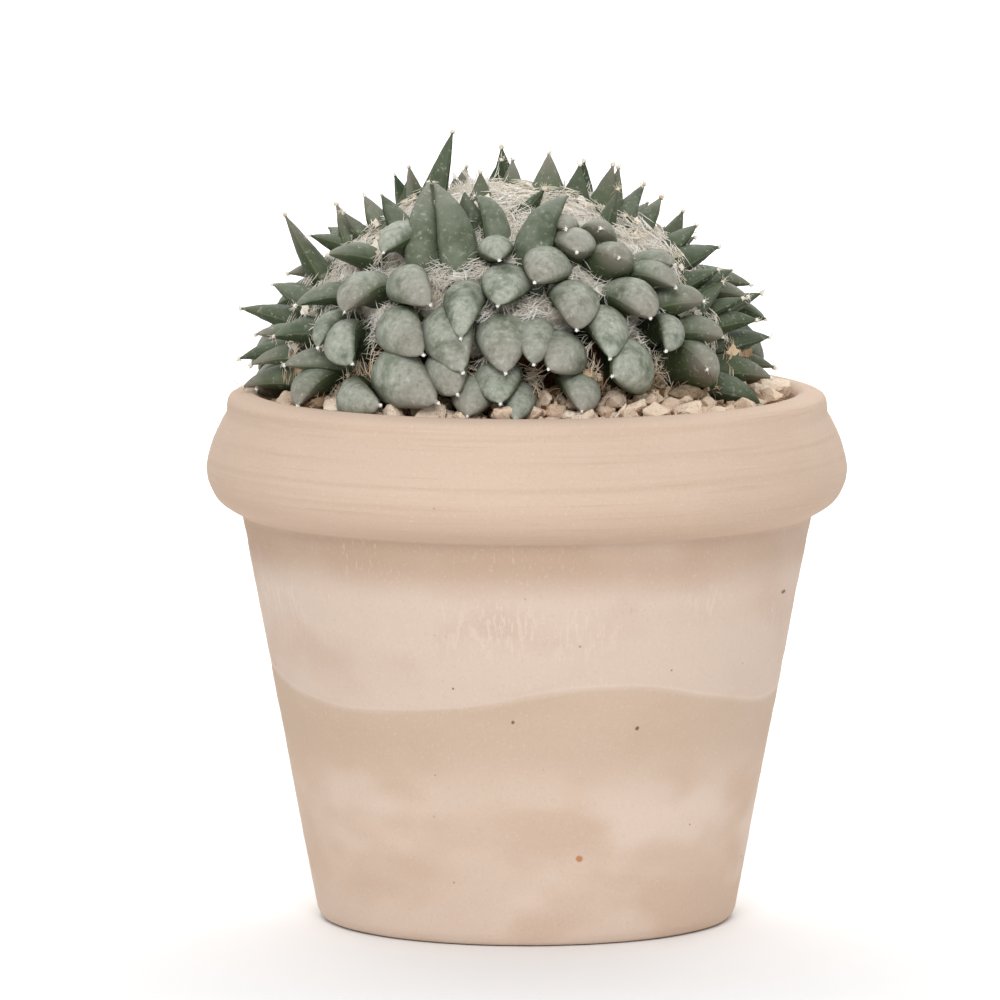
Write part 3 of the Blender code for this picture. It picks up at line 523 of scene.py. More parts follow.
def spiral_tubercles(placed):
    """(root, belly, tip, width, plumpness) of the tubercles that fill the rest of the dome."""
    chance = random.Random(11)
    roots = [facts[0] for facts in placed]
    crowns = [(on_dome(turn, climb, CORE_RADIUS, CORE_HEIGHT), size * MM)
              for turn, climb, size in WOOL_CROWNS]
    lowest = math.sin(math.radians(SPIRAL_LOWEST))
    highest = math.sin(math.radians(SPIRAL_HIGHEST))
    found = []
    for k in range(SPIRAL_COUNT):
        climb = math.degrees(math.asin(lowest + (highest - lowest) * k / (SPIRAL_COUNT - 1)))
        turn = (k * GOLDEN_ANGLE) % 360.0
        lean, twist, reach = chance.uniform(-4, 4), chance.uniform(-9, 9), chance.uniform(0.95, 1.04)
        width = chance.uniform(0.9, 1.1) * (17.5 - 0.07 * climb) * MM
        root = on_dome(turn, climb, CORE_RADIUS * ROOT_DEPTH, CORE_HEIGHT * ROOT_DEPTH)
        if any(np.linalg.norm(root - other) < ROOT_SPACING for other in roots):
            continue
        if any(np.linalg.norm(root - crown) < size + WOOL_FREE for crown, size in crowns):
            continue
        if abs(turn - 180.0) > SPIRAL_SPREAD and climb < HAND_PLACED_TOP:
            continue
        droop = 12.0 * math.cos(math.radians(1.6 * climb))
        tip = on_dome(turn + twist, max(climb - droop + lean, 3.0), DOME_RADIUS * reach, DOME_HEIGHT * reach)
        middle = on_dome(turn, climb, DOME_RADIUS * 0.85, DOME_HEIGHT * 0.85)
        plump = 0.18 + 0.7 * min(1.0, max(0.0, (40.0 - climb) / 22.0))
        belly = plump * middle + (1.0 - plump) * bowed(root, tip)
        found.append((root, belly, tip, width, plump))
    return found


tubercles = placed_tubercles()
by_hand = len(tubercles)
tubercles += spiral_tubercles(tubercles)
print(len(tubercles), "tubercles,", by_hand, "of them placed by hand")

# %% [markdown]
# ## The shape of one tubercle
#
# Each one is like a fat thorn of flesh: a smooth domed upper face, a keeled underside, fairly
# crisp edges between the two, and a small blunt nipple at the end. It could be sculpted, but
# there are a hundred and fifty, so it is written as a surface with two coordinates. `share` runs
# from the root to the tip, and `turn` runs round it, with the upper face between 0 and pi. The
# same function then tells the wool where a tubercle's skin is.

# %% A tubercle as a surface
AXIL = 0.74                     # width where it leaves the core
NIPPLE = 0.0009


class Tubercle:
    """One tubercle, on a curved spine from its root on the core, through its belly, to its tip."""

    def __init__(self, root, belly, tip, width, plump, number):
        chance = random.Random(number)
        self.root, self.tip, self.width, self.plump = root, tip, width * (1.0 + 0.06 * plump), plump
        self.bend = 2.0 * belly - 0.5 * (root + tip)
        self.length = float(np.linalg.norm(belly - root) + np.linalg.norm(tip - belly))
        outward = unit((belly - PLANT) / (DOME_RADIUS ** 2, DOME_RADIUS ** 2, DOME_HEIGHT ** 2))
        flat = unit(np.cross(unit(tip - belly), outward)) * plump
        stood = unit(np.cross(unit(tip - root), (0.0, 0.0, 1.0))) * (1.0 - plump)
        self.side = unit(flat + stood if np.dot(flat, stood) >= 0.0 else flat - stood)
        self.belly_at = 0.39 + 0.12 * plump
        self.thick = (0.38 + 0.05 * plump) * width * chance.uniform(0.94, 1.06)
        self.tone = chance.random()
        self.seed = number * 1.7

    def fullness(self, share):
        """Width along the tubercle, as a share of its widest."""
        base = AXIL + (1.0 - AXIL) * np.sin(0.5 * math.pi * np.clip(share / self.belly_at, 0.0, 1.0))
        out = np.clip((share - self.belly_at) / (1.0 - self.belly_at), 0.0, 1.0)
        shield = (1.0 - out ** 2.3) ** 0.8
        horn = 1.0 - out ** 1.6
        taper = self.plump * shield + (1.0 - self.plump) * horn
        left = (1.0 - share) * self.length
        blunt = NIPPLE * (0.7 + 0.3 * self.plump)
        nipple = blunt * np.sqrt(np.clip(1.0 - (1.0 - np.minimum(left / blunt, 1.0)) ** 2, 0.0, 1.0))
        body = taper * np.clip(left / (1.4 * blunt) - 0.4, 0.0, 1.0)
        return np.where(share < self.belly_at, base, np.maximum(body, nipple * 2.0 / self.width))

    def skin(self, share, turn, lift=0.0):
        """The point at this share and turn, lift metres above the skin."""
        share, turn = np.broadcast_arrays(np.asarray(share, float), np.asarray(turn, float))
        t = share[..., None]
        centre = (1 - t) ** 2 * self.root + 2 * t * (1 - t) * self.bend + t ** 2 * self.tip
        heading = unit((1 - t) * (self.bend - self.root) + t * (self.tip - self.bend))
        upper = unit(np.cross(self.side, heading))
        rise, across = np.sin(turn)[..., None], np.cos(turn)[..., None]
        full = self.fullness(share)[..., None]
        high = self.thick * np.abs(rise) ** 1.08
        low = self.thick * 0.78 * np.abs(rise) ** 1.3
        half = np.where(rise > 0.0, high, -low)
        return (centre + (0.5 * self.width * full * across + across * lift) * self.side
                + (full * half + rise * lift) * upper)


grown = [Tubercle(*facts, number) for number, facts in enumerate(tubercles)]

# %% Grow the clump: every tubercle and the core they stand on
ROWS, SIDES = 30, 26
TIP_ROWS, TIP_FROM, TIP_PART = 8, 0.86, 0.14   # rows that close the tip, and where they lie
closing = TIP_FROM + TIP_PART * np.sin(np.linspace(0.1, 1.0, TIP_ROWS) * math.pi / 2)
shares = np.concatenate((np.linspace(0.0, TIP_FROM, ROWS - TIP_ROWS), closing))
rounds = np.arange(SIDES) * 2.0 * math.pi / SIDES
share_grid, turn_grid = np.meshgrid(shares, rounds, indexing="ij")
one_shell = grid_faces(ROWS, SIDES) + [tuple(range(SIDES))[::-1]]

clump_points, clump_faces = [], []
along_values, face_values, tone_values, plump_values, left_light_values = [], [], [], [], []
for number, tubercle in enumerate(grown):
    points = tubercle.skin(share_grid, turn_grid).reshape(-1, 3)
    offset = Vector((tubercle.seed, 0.0, 0.0))
    swell = np.array([noise.noise(Vector(p) * 210.0 + offset) for p in points])
    crease = np.array([noise.noise(Vector((s * 26.0, t * 0.6, tubercle.seed)))
                       for s, t in zip(share_grid.ravel(), turn_grid.ravel())])
    away = unit(tubercle.skin(share_grid, turn_grid, MM).reshape(-1, 3) - points)
    fade = np.minimum(1.0, 6.0 * (1.0 - share_grid.ravel()))
    points = points + away * ((0.00022 * swell + 0.00012 * crease) * fade)[:, None]
    start = len(clump_points) * ROWS * SIDES
    clump_points.append(points)
    clump_faces += [tuple(i + start for i in face) for face in one_shell]
    along_values.append(share_grid.ravel())
    face_values.append(np.sin(turn_grid).ravel())
    tone_values.append(np.full(ROWS * SIDES, tubercle.tone))
    plump_values.append(np.full(ROWS * SIDES, tubercle.plump))
    # painted light and shade across the plant: 1 at the left is painted light, falling to 0 at the right,
    # which is painted shade
    bloom = np.clip(0.5 - 0.5 * tubercle.tip[0] / DOME_RADIUS, 0.0, 1.0)
    left_light_values.append(np.full(ROWS * SIDES, bloom))
clump_points = np.concatenate(clump_points)
clump_attributes = {"along": np.concatenate(along_values), "face": np.concatenate(face_values),
                    "tone": np.concatenate(tone_values), "plump": np.concatenate(plump_values),
                    "bloom": np.concatenate(left_light_values)}

# %% [markdown]
# ## Living skin
#
# The skin is grey-green under a bloom of pale wax. The upper faces of the plump tubercles are painted in pale
# waxed colours, partly that wax and partly a painted highlight where light falls from above, and the
# undersides are left dark green as painted shade. Towards the tips of some it turns a purplish grey, and in
# the axil, near the root, a rusty red. The mesh carries `along`, `face`, `tone` and `plump` with every point,
# so those words can be used in the finish. It also carries one more number that runs from 0 on the right to 1
# on the left: painted light on the left of the plant and painted shade on the right, which leave the left
# paler and waxier and the right darker and greener.

# %% Cactus flesh
flesh = Finish("glaucous_flesh", 0.58)
where = flesh.place()
along = flesh.attribute("along")
face = flesh.attribute("face")
tone = flesh.attribute("tone")
plump = flesh.attribute("plump")
bloom = flesh.attribute("bloom")
blotch = flesh.noise(95.0, where, 3.0, 0.55)
mottle = flesh.noise(520.0, where, 3.0, 0.65)
fine = flesh.noise(1500.0, where, 2.0, 0.6)
# painted light and shade: the dark green stays on the undersides as painted shade, and the paler dusty and
# waxed colours go on the upper faces, partly the skin's own wax bloom and partly a painted highlight
green = flesh.mix(tone, colour(52, 66, 42), colour(74, 86, 56))
dusty_lit = flesh.mix(tone, colour(92, 102, 80), colour(116, 124, 102))
waxed_highlight = flesh.mix(flesh.ramp(mottle, 0.32, 0.68), colour(156, 162, 148), colour(182, 186, 172))
upper = flesh.ramp(face, -0.15, 0.55)
skin = flesh.mix(upper * (0.17 + 0.36 * bloom + 0.45 * flesh.ramp(blotch, 0.3, 0.7)), green, dusty_lit)
wax_highlight_share = 0.50 + 0.42 * flesh.ramp(bloom, 0.08, 0.32)
skin = flesh.mix(upper * plump * flesh.ramp(blotch, 0.22, 0.58) * wax_highlight_share, skin, waxed_highlight)
purplish = flesh.ramp(along, 0.60, 0.98) * flesh.ramp(tone, 0.35, 0.75)
skin = flesh.mix(purplish * 0.55, skin, colour(150, 138, 130))
edge = flesh.ramp(face, -0.10, 0.0) * flesh.ramp(face, 0.16, 0.03)
skin = flesh.mix(edge * 0.16, skin, colour(176, 176, 150))
skin = flesh.mix(flesh.ramp(mottle, 0.56, 0.74) * 0.40, skin, colour(204, 207, 192))
skin = flesh.mix(flesh.ramp(mottle, 0.44, 0.26) * 0.38, skin, colour(92, 104, 76))
skin = flesh.mix(flesh.ramp(along, 0.16, 0.02), skin, colour(112, 58, 40))
flesh.connect("Base Color", skin)
flesh.connect("Roughness", 0.52 + 0.16 * flesh.ramp(mottle, 0.3, 0.7))
folds = flesh.node("ShaderNodeCombineXYZ", {}, {0: along * 42.0, 1: face * 1.6, 2: tone * 90.0})
wrinkle = flesh.noise(1.0, folds, 2.0)
flesh.bump(wrinkle * 0.5 + mottle * 0.35 + fine * 0.3, 0.35, 0.0005)
add_piece("cactus_clump", clump_points, clump_faces, flesh, ("stem",), clump_attributes)

# %% [markdown]
# ## The core between them
#
# Between the tubercles the core shows as dark corky bark low down. Further up it is buried under
# years of matted wool, so there the surface is raised to where the felt would be, well out
# towards the tips. It is a dome of points pushed in and out by noise, and one number per point
# says how woolly it is there.

# %% The core and its felt
CORE_ROWS, CORE_SIDES = 84, 200
FELT_FROM, FELT_FULL = 14.0, 46.0   # degrees up: where felt begins, and where it is thickest
FELT_DEPTH = 0.83                   # its surface, as a share of the dome


def lumpy(points, scale):
    """Noise at each point, from about -1 to 1."""
    return np.array([noise.noise(Vector(p) * scale) for p in points])


climbs = np.linspace(90.0, -14.0, CORE_ROWS)
core_turns = np.arange(CORE_SIDES) * 360.0 / CORE_SIDES
climb_grid, core_turn_grid = np.meshgrid(climbs, core_turns, indexing="ij")
bare_core = on_dome(core_turn_grid, climb_grid, CORE_RADIUS, CORE_HEIGHT).reshape(-1, 3)
felt_top = on_dome(core_turn_grid, climb_grid, DOME_RADIUS * FELT_DEPTH, DOME_HEIGHT * FELT_DEPTH)
felt_top = felt_top.reshape(-1, 3)
woolly = (climb_grid.ravel() - FELT_FROM) / (FELT_FULL - FELT_FROM) + 0.5 * lumpy(bare_core, 60.0)
woolly = np.clip(woolly, 0.0, 1.0)
core_points = bare_core + (felt_top - bare_core) * (woolly * (3.0 - 2.0 * woolly) * woolly)[:, None]
core_out = unit((core_points - PLANT) / (CORE_RADIUS ** 2, CORE_RADIUS ** 2, CORE_HEIGHT ** 2))
lumps = lumpy(core_points, 130.0) + 0.5 * lumpy(core_points, 330.0)
core_points = core_points + core_out * ((0.0011 + 0.0009 * woolly) * lumps)[:, None]

bark = Finish("corky_bark", 0.95)
where = bark.place()
patch = bark.noise(85.0, where, 4.0, 0.65)
fibre = bark.noise(700.0, bark.stretched(where, (1.0, 1.0, 0.35)), 3.0, 0.6)
corky = bark.mix(bark.ramp(patch, 0.36, 0.62), colour(52, 36, 26), colour(128, 84, 54))
felt = bark.mix(bark.ramp(fibre, 0.35, 0.60), colour(234, 216, 190), colour(253, 248, 237))
felt = bark.mix(bark.ramp(patch, 0.60, 0.74) * 0.5, felt, colour(210, 180, 144))
buried = bark.ramp(bark.attribute("woolly") + 0.35 * (patch - 0.5), 0.10, 0.40)
bark.connect("Base Color", bark.mix(buried, corky, felt))
bark.bump(fibre + patch, 0.6, 0.0012)
add_piece("core", core_points, grid_faces(CORE_ROWS, CORE_SIDES), bark, (), {"woolly": woolly})

# %% [markdown]
# ## Wool, strand by strand
#
# New growth on this plant comes out of wool, and old wool stays in the gaps for years: white at
# the growing points, cream between the tubercles, brown and matted low down. Hair particles
# would do, but they can't easily be kept to the gaps and they don't export as a plain mesh. So
# each strand here is a thin three-sided tube along a path of points, and thousands of them are
# gathered into one mesh. `tint` goes with every point, from 0 for white to 1 for brown.

# %% A fleece gathers strands
class Fleece:
    """Fine strands, beads and flakes gathered into one mesh, each with its own tint."""

    def __init__(self, seed):
        self.chance = np.random.default_rng(seed)
        self.points, self.faces, self.tints = [], [], []
        self.count = 0

    def add(self, points, faces, tint):
        self.faces += [tuple(i + self.count for i in face) for face in faces]
        self.points.append(points)
        self.tints.append(np.full(len(points), tint))
        self.count += len(points)

    def strand(self, path, thickness, tint):
        heading = unit(np.gradient(path, axis=0))
        side = unit(np.cross(heading, unit(self.chance.normal(size=3))))
        upper = np.cross(heading, side)
        thin = 0.5 * thickness * np.sin(np.linspace(0.12, 0.92, len(path)) * math.pi)
        corners = [path + (math.cos(turn) * side + math.sin(turn) * upper) * thin[:, None]
                   for turn in (0.0, 2.0 * math.pi / 3.0, 4.0 * math.pi / 3.0)]
        self.add(np.stack(corners, axis=1).reshape(-1, 3), grid_faces(len(path), 3), tint)

    def curl(self, start, heading, length, thickness, tint, wave=0.35, steps=7, out=None):
        """A strand that sets off in one direction and wanders, but hardly outwards if out is given."""
        bends = self.chance.normal(size=(steps, 3)) * wave
        headings = unit(unit(heading) + np.cumsum(bends, axis=0) * 0.6)
        if out is not None:
            headings = headings - 0.85 * (headings @ out)[:, None] * out
        path = start + np.cumsum(headings, axis=0) * length / steps
        self.strand(path, thickness, tint)

    def lock(self, start, heading, length, strands, tint, spread=0.0006, out=None):
        """Strands that lie together, as wool does when it is matted."""
        for _ in range(strands):
            near = start + self.chance.normal(size=3) * spread
            lean = unit(heading) + self.chance.normal(size=3) * 0.16
            shade = float(np.clip(tint + self.chance.normal() * 0.06, 0.0, 1.0))
            thickness = self.chance.uniform(0.00014, 0.00045)
            self.curl(near, lean, length * self.chance.uniform(0.7, 1.1), thickness, shade, 0.30, 7, out)

    def flake(self, centre, outward, size, tint):
        """A scrap of dry papery skin, curled and torn."""
        across = unit(np.cross(outward, self.chance.normal(size=3)))
        down = np.cross(outward, across)
        u, v = np.meshgrid(np.linspace(-1, 1, 5), np.linspace(-1, 1, 4), indexing="ij")
        torn = 1.0 + self.chance.normal(size=u.shape) * 0.16
        rise = self.chance.uniform(0.2, 0.6) * u ** 2 + self.chance.normal(size=u.shape) * 0.10
        curled = rise * size * 0.5
        points = (centre + (u * torn * size * 0.5)[..., None] * across
                  + (v * torn * size * 0.32)[..., None] * down + curled[..., None] * outward)
        self.add(points.reshape(-1, 3), grid_faces(5, 4, closed=False), tint)

    def bead(self, centre, radius, tint):
        points = bead_points * (1.0 + 0.22 * self.chance.normal(size=(len(bead_points), 1)))
        self.add(centre + points * radius, bead_faces, tint)

    def finish_piece(self, name, replaces=()):
        tints = {"tint": np.concatenate(self.tints)}
        return add_piece(name, np.concatenate(self.points), self.faces, wool, replaces, tints)


def round_shape(subdivisions):
    """Points and faces of a ball of radius 1."""
    shape = bmesh.new()
    bmesh.ops.create_icosphere(shape, subdivisions=subdivisions, radius=1.0)
    points = np.array([v.co[:] for v in shape.verts])
    faces = [tuple(v.index for v in face.verts) for face in shape.faces]
    shape.free()
    return points, faces


bead_points, bead_faces = round_shape(2)

# %% The wool's finish
wool = Finish("plant_wool", 0.95)
where = wool.place()
tint = wool.attribute("tint")
dust = wool.noise(420.0, where, 3.0, 0.6)
pale = wool.mix(wool.ramp(tint, 0.0, 0.40), colour(253, 251, 246), colour(250, 241, 225))
aged = wool.mix(wool.ramp(tint, 0.42, 0.75), pale, colour(220, 194, 160))
old = wool.mix(wool.ramp(tint, 0.75, 1.0), aged, colour(120, 86, 58))
wool.connect("Base Color", wool.mix(wool.ramp(dust, 0.56, 0.78) * 0.25, old, colour(188, 158, 124)))
wool.bump(dust, 0.4, 0.0003)

# %% [markdown]
# ## Where the gaps are
#
# Wool belongs only where flesh is not. Rays are sent in towards the plant from all round. One
# that stops early has met a tubercle. One that gets far down has found a gap, and the place
# where it ended is kept, with the way out of the plant there.

# %% Look for the gaps
from mathutils.bvhtree import BVHTree

flesh_tree = BVHTree.FromPolygons([tuple(p) for p in clump_points], clump_faces)
core_tree = BVHTree.FromPolygons([tuple(p) for p in core_points], grid_faces(CORE_ROWS, CORE_SIDES))
DOME_SIDES = np.array((DOME_RADIUS, DOME_RADIUS, DOME_HEIGHT))


def first_met(origin, heading):
    """The nearest point of flesh or core along a ray, or None."""
    hits = [tree.ray_cast(origin, heading)[0] for tree in (flesh_tree, core_tree)]
    hits = [hit for hit in hits if hit is not None]
    return min(hits, key=lambda hit: (hit - origin).length) if hits else None


GAP_RAYS = 9000
GAP_DEPTH = 0.88   # a ray that ends nearer the dome than this share has met flesh


def find_gaps(count, seed):
    """(place, way out, azimuth, elevation, depth) of gaps between tubercles, depth 1 at the dome."""
    chance = np.random.default_rng(seed)
    found = []
    for _ in range(count):
        turn = chance.uniform(-180.0, 180.0)
        climb = math.degrees(math.asin(chance.uniform(0.02, 1.0)))
        out = unit(on_dome(turn, climb, DOME_RADIUS, DOME_HEIGHT) - PLANT)
        origin = Vector(PLANT + out * 0.2)
        hit = first_met(origin, Vector(-out))
        if hit is None:
            continue
        place = np.array(hit)
        depth = float(np.linalg.norm((place - PLANT) / DOME_SIDES))
        if depth < GAP_DEPTH:
            found.append((place, out, turn, climb, depth))
    return found


gaps = find_gaps(GAP_RAYS, 3)
print(len(gaps), "gaps found")


def woolliness(turn, climb):
    """How much wool a place has: most round the top and to the right, least low on the left."""
    high = min(1.0, max(0.0, (climb - 6.0) / 30.0))
    right = 0.75 + 0.25 * math.sin(math.radians(turn))
    return high * right


def age(climb, chance):
    """Tint of wool at a height on the dome: brown low down, cream to white further up."""
    low = min(1.0, max(0.0, (26.0 - climb) / 22.0))
    return float(np.clip(0.22 + 0.62 * low + chance.normal() * 0.14, 0.0, 1.0))


# %% Fill the gaps with wool and scraps
gap_wool = Fleece(21)
chance = gap_wool.chance
for place, out, turn, climb, depth in gaps:
    amount = woolliness(turn, climb)
    room = (0.92 - depth) * 0.05
    for _ in range(int(0.4 + 2.0 * amount + chance.random())):
        lift = chance.uniform(0.0, 1.0) * room
        heading = unit(np.cross(out, chance.normal(size=3))) + chance.uniform(-0.15, 0.15) * out
        length = chance.uniform(0.006, 0.014)
        start = place + out * (lift + 0.0003) - unit(heading) * 0.4 * length
        gap_wool.lock(start, heading, length, 5, age(climb, chance), 0.0007, out)
    if chance.random() < 0.12 + 0.05 * amount:
        size = chance.uniform(0.003, 0.006)
        gap_wool.flake(place + out * min(room * 0.6, 0.004), unit(out + 0.5 * chance.normal(size=3)), size,
                       float(np.clip(age(climb, chance) + 0.12, 0.0, 1.0)))
gap_wool.finish_piece("gap_wool")

# %% [markdown]
# ## Wool along the shoulders
#
# As a tubercle grows out it carries a fringe of wool up over its shoulders, and strands stay
# caught from one tubercle to the next. The fringe is laid on the tubercle's own skin, which is
# why its surface was written as a function. The bridges run between two such skins.

# %% Fringes and bridges
def bearings(place):
    """The way out of the plant at a place, and its azimuth and elevation."""
    out = (place - PLANT) / DOME_SIDES
    climb = math.degrees(math.asin(np.clip(out[2] / np.linalg.norm(out), -1.0, 1.0)))
    return out, math.degrees(math.atan2(out[0], -out[1])), climb


BELLY = 0.4            # share along a tubercle taken as its belly
BRIDGE_REACH = 0.026   # bellies further apart than this aren't bridged
shoulder_wool = Fleece(22)
chance = shoulder_wool.chance
for tubercle in grown:
    out, turn, climb = bearings(tubercle.skin(BELLY, 0.5 * math.pi))
    amount = woolliness(turn, climb)
    for _ in range(int(3 + 15 * amount)):
        start = chance.uniform(0.05, 0.75) * math.pi
        turns_here = np.linspace(start, start + chance.uniform(0.15, 0.6) * math.pi, 8)
        from_share = chance.uniform(0.06, 0.30)
        shares_here = from_share + np.cumsum(chance.normal(size=8)) * 0.012
        lifts = 0.00015 + 0.0007 * np.abs(np.sin(np.linspace(0.0, math.pi, 8) * chance.uniform(0.5, 2.0)))
        path = tubercle.skin(np.clip(shares_here, 0.02, 0.6), turns_here, lifts[:, None])
        shoulder_wool.strand(path, chance.uniform(0.0002, 0.00045), age(climb, chance))

bellies = np.array([tubercle.skin(BELLY, 0.5 * math.pi) for tubercle in grown])
for first, tubercle in enumerate(grown):
    apart = np.linalg.norm(bellies - bellies[first], axis=1)
    for second in np.argsort(apart)[1:5]:
        if apart[second] > BRIDGE_REACH or second < first:
            continue
        out, turn, climb = bearings(0.5 * (bellies[first] + bellies[second]))
        amount = woolliness(turn, climb)
        from_turn, to_turn = chance.uniform(0.1, 0.9, 2) * math.pi
        for _ in range(int(7 * amount * chance.random() * 2.0)):
            a = tubercle.skin(chance.uniform(0.08, 0.36), from_turn + chance.normal() * 0.25, 0.0004)
            b = grown[second].skin(chance.uniform(0.08, 0.40), to_turn + chance.normal() * 0.25, 0.0004)
            t = np.linspace(-0.08, 1.08, 9)[:, None]
            bow = unit(out) * (4.0 * t * (1.0 - t)) * chance.uniform(-0.001, 0.0022)
            path = a + (b - a) * t + bow + chance.normal(size=(9, 3)) * 0.00022
            shoulder_wool.strand(path, chance.uniform(0.0002, 0.0005), age(climb, chance))
shoulder_wool.finish_piece("shoulder_wool")

# %% [markdown]
# ## Tips
#
# Every tubercle ends in a woolly dot. On the young shields in front it is a neat white bead, and
# on the horns further out it has weathered to a cream or tan blob with a few loose hairs.

# %% A dot of wool on every tip
tip_wool = Fleece(23)
chance = tip_wool.chance
for tubercle in grown:
    heading = unit(tubercle.tip - tubercle.bend)
    shabby = 1.0 - tubercle.plump
    radius = (0.62 + 0.34 * shabby * chance.random()) * MM
    shade = float(np.clip(0.06 + 0.40 * shabby + chance.normal() * 0.08, 0.0, 0.8))
    tip_wool.bead(tubercle.tip - heading * 0.0004, radius, shade)
    for _ in range(4 + int(12 * shabby)):
        away = unit(heading + chance.normal(size=3) * 0.8)
        length = chance.uniform(0.0012, 0.003) * (0.5 + shabby)
        tip_wool.curl(tubercle.tip - heading * 0.0004, away, length, 0.00018, shade, 0.5, 5)
SHAGGY = 35   # the one tubercle whose tip trails long hairs
for _ in range(7):
    trail = (-0.3, chance.uniform(-0.4, 0.4), chance.uniform(0.2, 1.0))
    tip_wool.curl(grown[SHAGGY].tip, trail, 0.011, 0.00028, 0.45, 0.2)
tip_wool.finish_piece("tip_wool")

# %% [markdown]
# ## The growing points
#
# The clump has four heads, each with a cushion of fresh wool at its centre. The cushion itself is
# the model's own shape with a finer, felted surface, and long strands stand up out of it among
# the youngest tubercles.

# %% A finer copy of a model piece
def finer_points(node, cuts, rough, scale, seed):
    """The model piece's mesh with more points, pushed in by noise so that it stays in its place."""
    shape = bmesh.new()
    shape.from_mesh(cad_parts[node].data)
    bmesh.ops.remove_doubles(shape, verts=shape.verts, dist=0.00002)
    bmesh.ops.subdivide_edges(shape, edges=shape.edges, cuts=cuts, use_grid_fill=True, smooth=0.0)
    bmesh.ops.triangulate(shape, faces=shape.faces)
    for _ in range(2):
        bmesh.ops.smooth_vert(shape, verts=shape.verts, factor=0.5,
                              use_axis_x=True, use_axis_y=True, use_axis_z=True)
    shape.normal_update()
    offset = Vector((seed * 0.37, seed * 0.11, 0.0))
    points = []
    for vertex in shape.verts:
        at = vertex.co * scale + offset
        dent = abs(noise.noise(at)) + 0.5 * abs(noise.noise(at * 2.3)) + 0.35 * abs(noise.noise(at * 6.0))
        points.append(np.array(vertex.co - vertex.normal * dent * rough))
    faces = [tuple(v.index for v in face.verts) for face in shape.faces]
    shape.free()
    return np.array(points), faces


# %% The four cushions
for number, (turn, climb, size) in enumerate(WOOL_CROWNS, 1):
    cushion = Fleece(30 + number)
    chance = cushion.chance
    points, faces = finer_points(f"wool_crown_{number}", 2, 0.0006, 600.0, number)
    cushion.add(points, faces, 0.25)
    seat = on_dome(turn, climb, CORE_RADIUS, CORE_HEIGHT)
    out = unit(seat - PLANT)
    for _ in range(170):
        spread = unit(np.cross(out, chance.normal(size=3))) * abs(chance.normal()) * 0.6 * size * MM
        start = seat + spread + out * chance.uniform(0.007, 0.013)
        heading = out * chance.uniform(-0.2, 0.4) + unit(chance.normal(size=3)) * 0.9
        cushion.lock(start, heading, chance.uniform(0.005, 0.011), 3, max(0.0, 0.20 + chance.normal() * 0.12))
    cushion.finish_piece(f"crown_wool_{number}", (f"wool_crown_{number}",))

# %% The ball of old wool by the rim
old_ball = Fleece(41)
chance = old_ball.chance
points, faces = finer_points("dry_wool_ball", 2, 0.0007, 500.0, 5)
old_ball.add(points, faces, 0.9)
ball_centre = points.mean(axis=0)
ball_half = 0.5 * np.ptp(points, axis=0)
for _ in range(420):
    out = unit(chance.normal(size=3))
    start = ball_centre + out * ball_half * 0.82
    heading = np.cross(out, chance.normal(size=3))
    old_ball.curl(start, heading, chance.uniform(0.003, 0.006), chance.uniform(0.0002, 0.0004),
                  float(np.clip(0.85 + chance.normal() * 0.15, 0.4, 1.0)), 0.5)
old_ball.finish_piece("old_wool_ball", ("dry_wool_ball",))

# %% [markdown]
# ## Pumice
#
# The top dressing is broken pumice: light, angular, pinkish buff, full of pores. The model has
# the larger stones one by one, so each is copied finer and dented, which keeps it where it is.
# Round them, smaller grit is strewn over the bed in its hundreds from a few dented lumps.

# %% The stones' finish
pumice = Finish("pumice", 0.95)
where = pumice.place()
tint = pumice.attribute("tint")
mass = pumice.noise(160.0, where, 3.0, 0.6)
pores = pumice.node("ShaderNodeTexVoronoi", {}, {"Vector": where, "Scale": 900.0}, "Distance")
tiny = pumice.noise(1800.0, where, 3.0, 0.7)
buff = pumice.mix(tint, colour(255, 240, 220), colour(236, 208, 181))
stone = pumice.mix(pumice.ramp(mass, 0.36, 0.66) * 0.6, buff, colour(240, 214, 189))
stone = pumice.mix(pumice.ramp(pores, 0.22, 0.08) * 0.6, stone, colour(128, 98, 74))
stone = pumice.mix(pumice.ramp(tiny, 0.56, 0.70) * 0.26, stone, colour(160, 128, 102))
stone = pumice.mix(pumice.ramp(tiny, 0.44, 0.30) * 0.35, stone, colour(252, 240, 224))
pumice.connect("Base Color", stone)
pumice.bump(pumice.ramp(pores, 0.0, 0.3) + tiny * 0.8, 0.8, 0.0004)

# %% A broken stone: a hull round chance points, its edges worn and its faces pitted
def broken_stone(seed, corners=15, cuts=1):
    """Points and faces of an angular stone in a box 1 wide, centred on 0."""
    chance = np.random.default_rng(seed)
    shape = bmesh.new()
    for direction in unit(chance.normal(size=(corners, 3))):
        shape.verts.new(direction * chance.uniform(0.85, 1.15))
    hull = bmesh.ops.convex_hull(shape, input=shape.verts)
    spare = hull["geom_interior"] + hull["geom_unused"]
    inside = {part for part in spare if isinstance(part, bmesh.types.BMVert)}
    bmesh.ops.delete(shape, geom=list(inside), context="VERTS")
    bmesh.ops.bevel(shape, geom=shape.edges, offset=0.10, segments=2, profile=0.6, affect="EDGES")
    bmesh.ops.triangulate(shape, faces=shape.faces)
    bmesh.ops.subdivide_edges(shape, edges=shape.edges, cuts=cuts, use_grid_fill=True)
    bmesh.ops.triangulate(shape, faces=shape.faces)
    shape.normal_update()
    points = []
    for vertex in shape.verts:
        at = vertex.co + Vector((seed * 3.7, seed * 1.3, 0.0))
        pit = (0.10 * abs(noise.noise(at * 1.6)) + 0.07 * abs(noise.noise(at * 4.0))
               + 0.05 * noise.noise(at * 9.0))
        points.append(np.array(vertex.co - vertex.normal * pit))
    faces = [tuple(v.index for v in face.verts) for face in shape.faces]
    shape.free()
    points = np.array(points)
    return (points - 0.5 * (points.max(axis=0) + points.min(axis=0))) / np.ptp(points, axis=0), faces


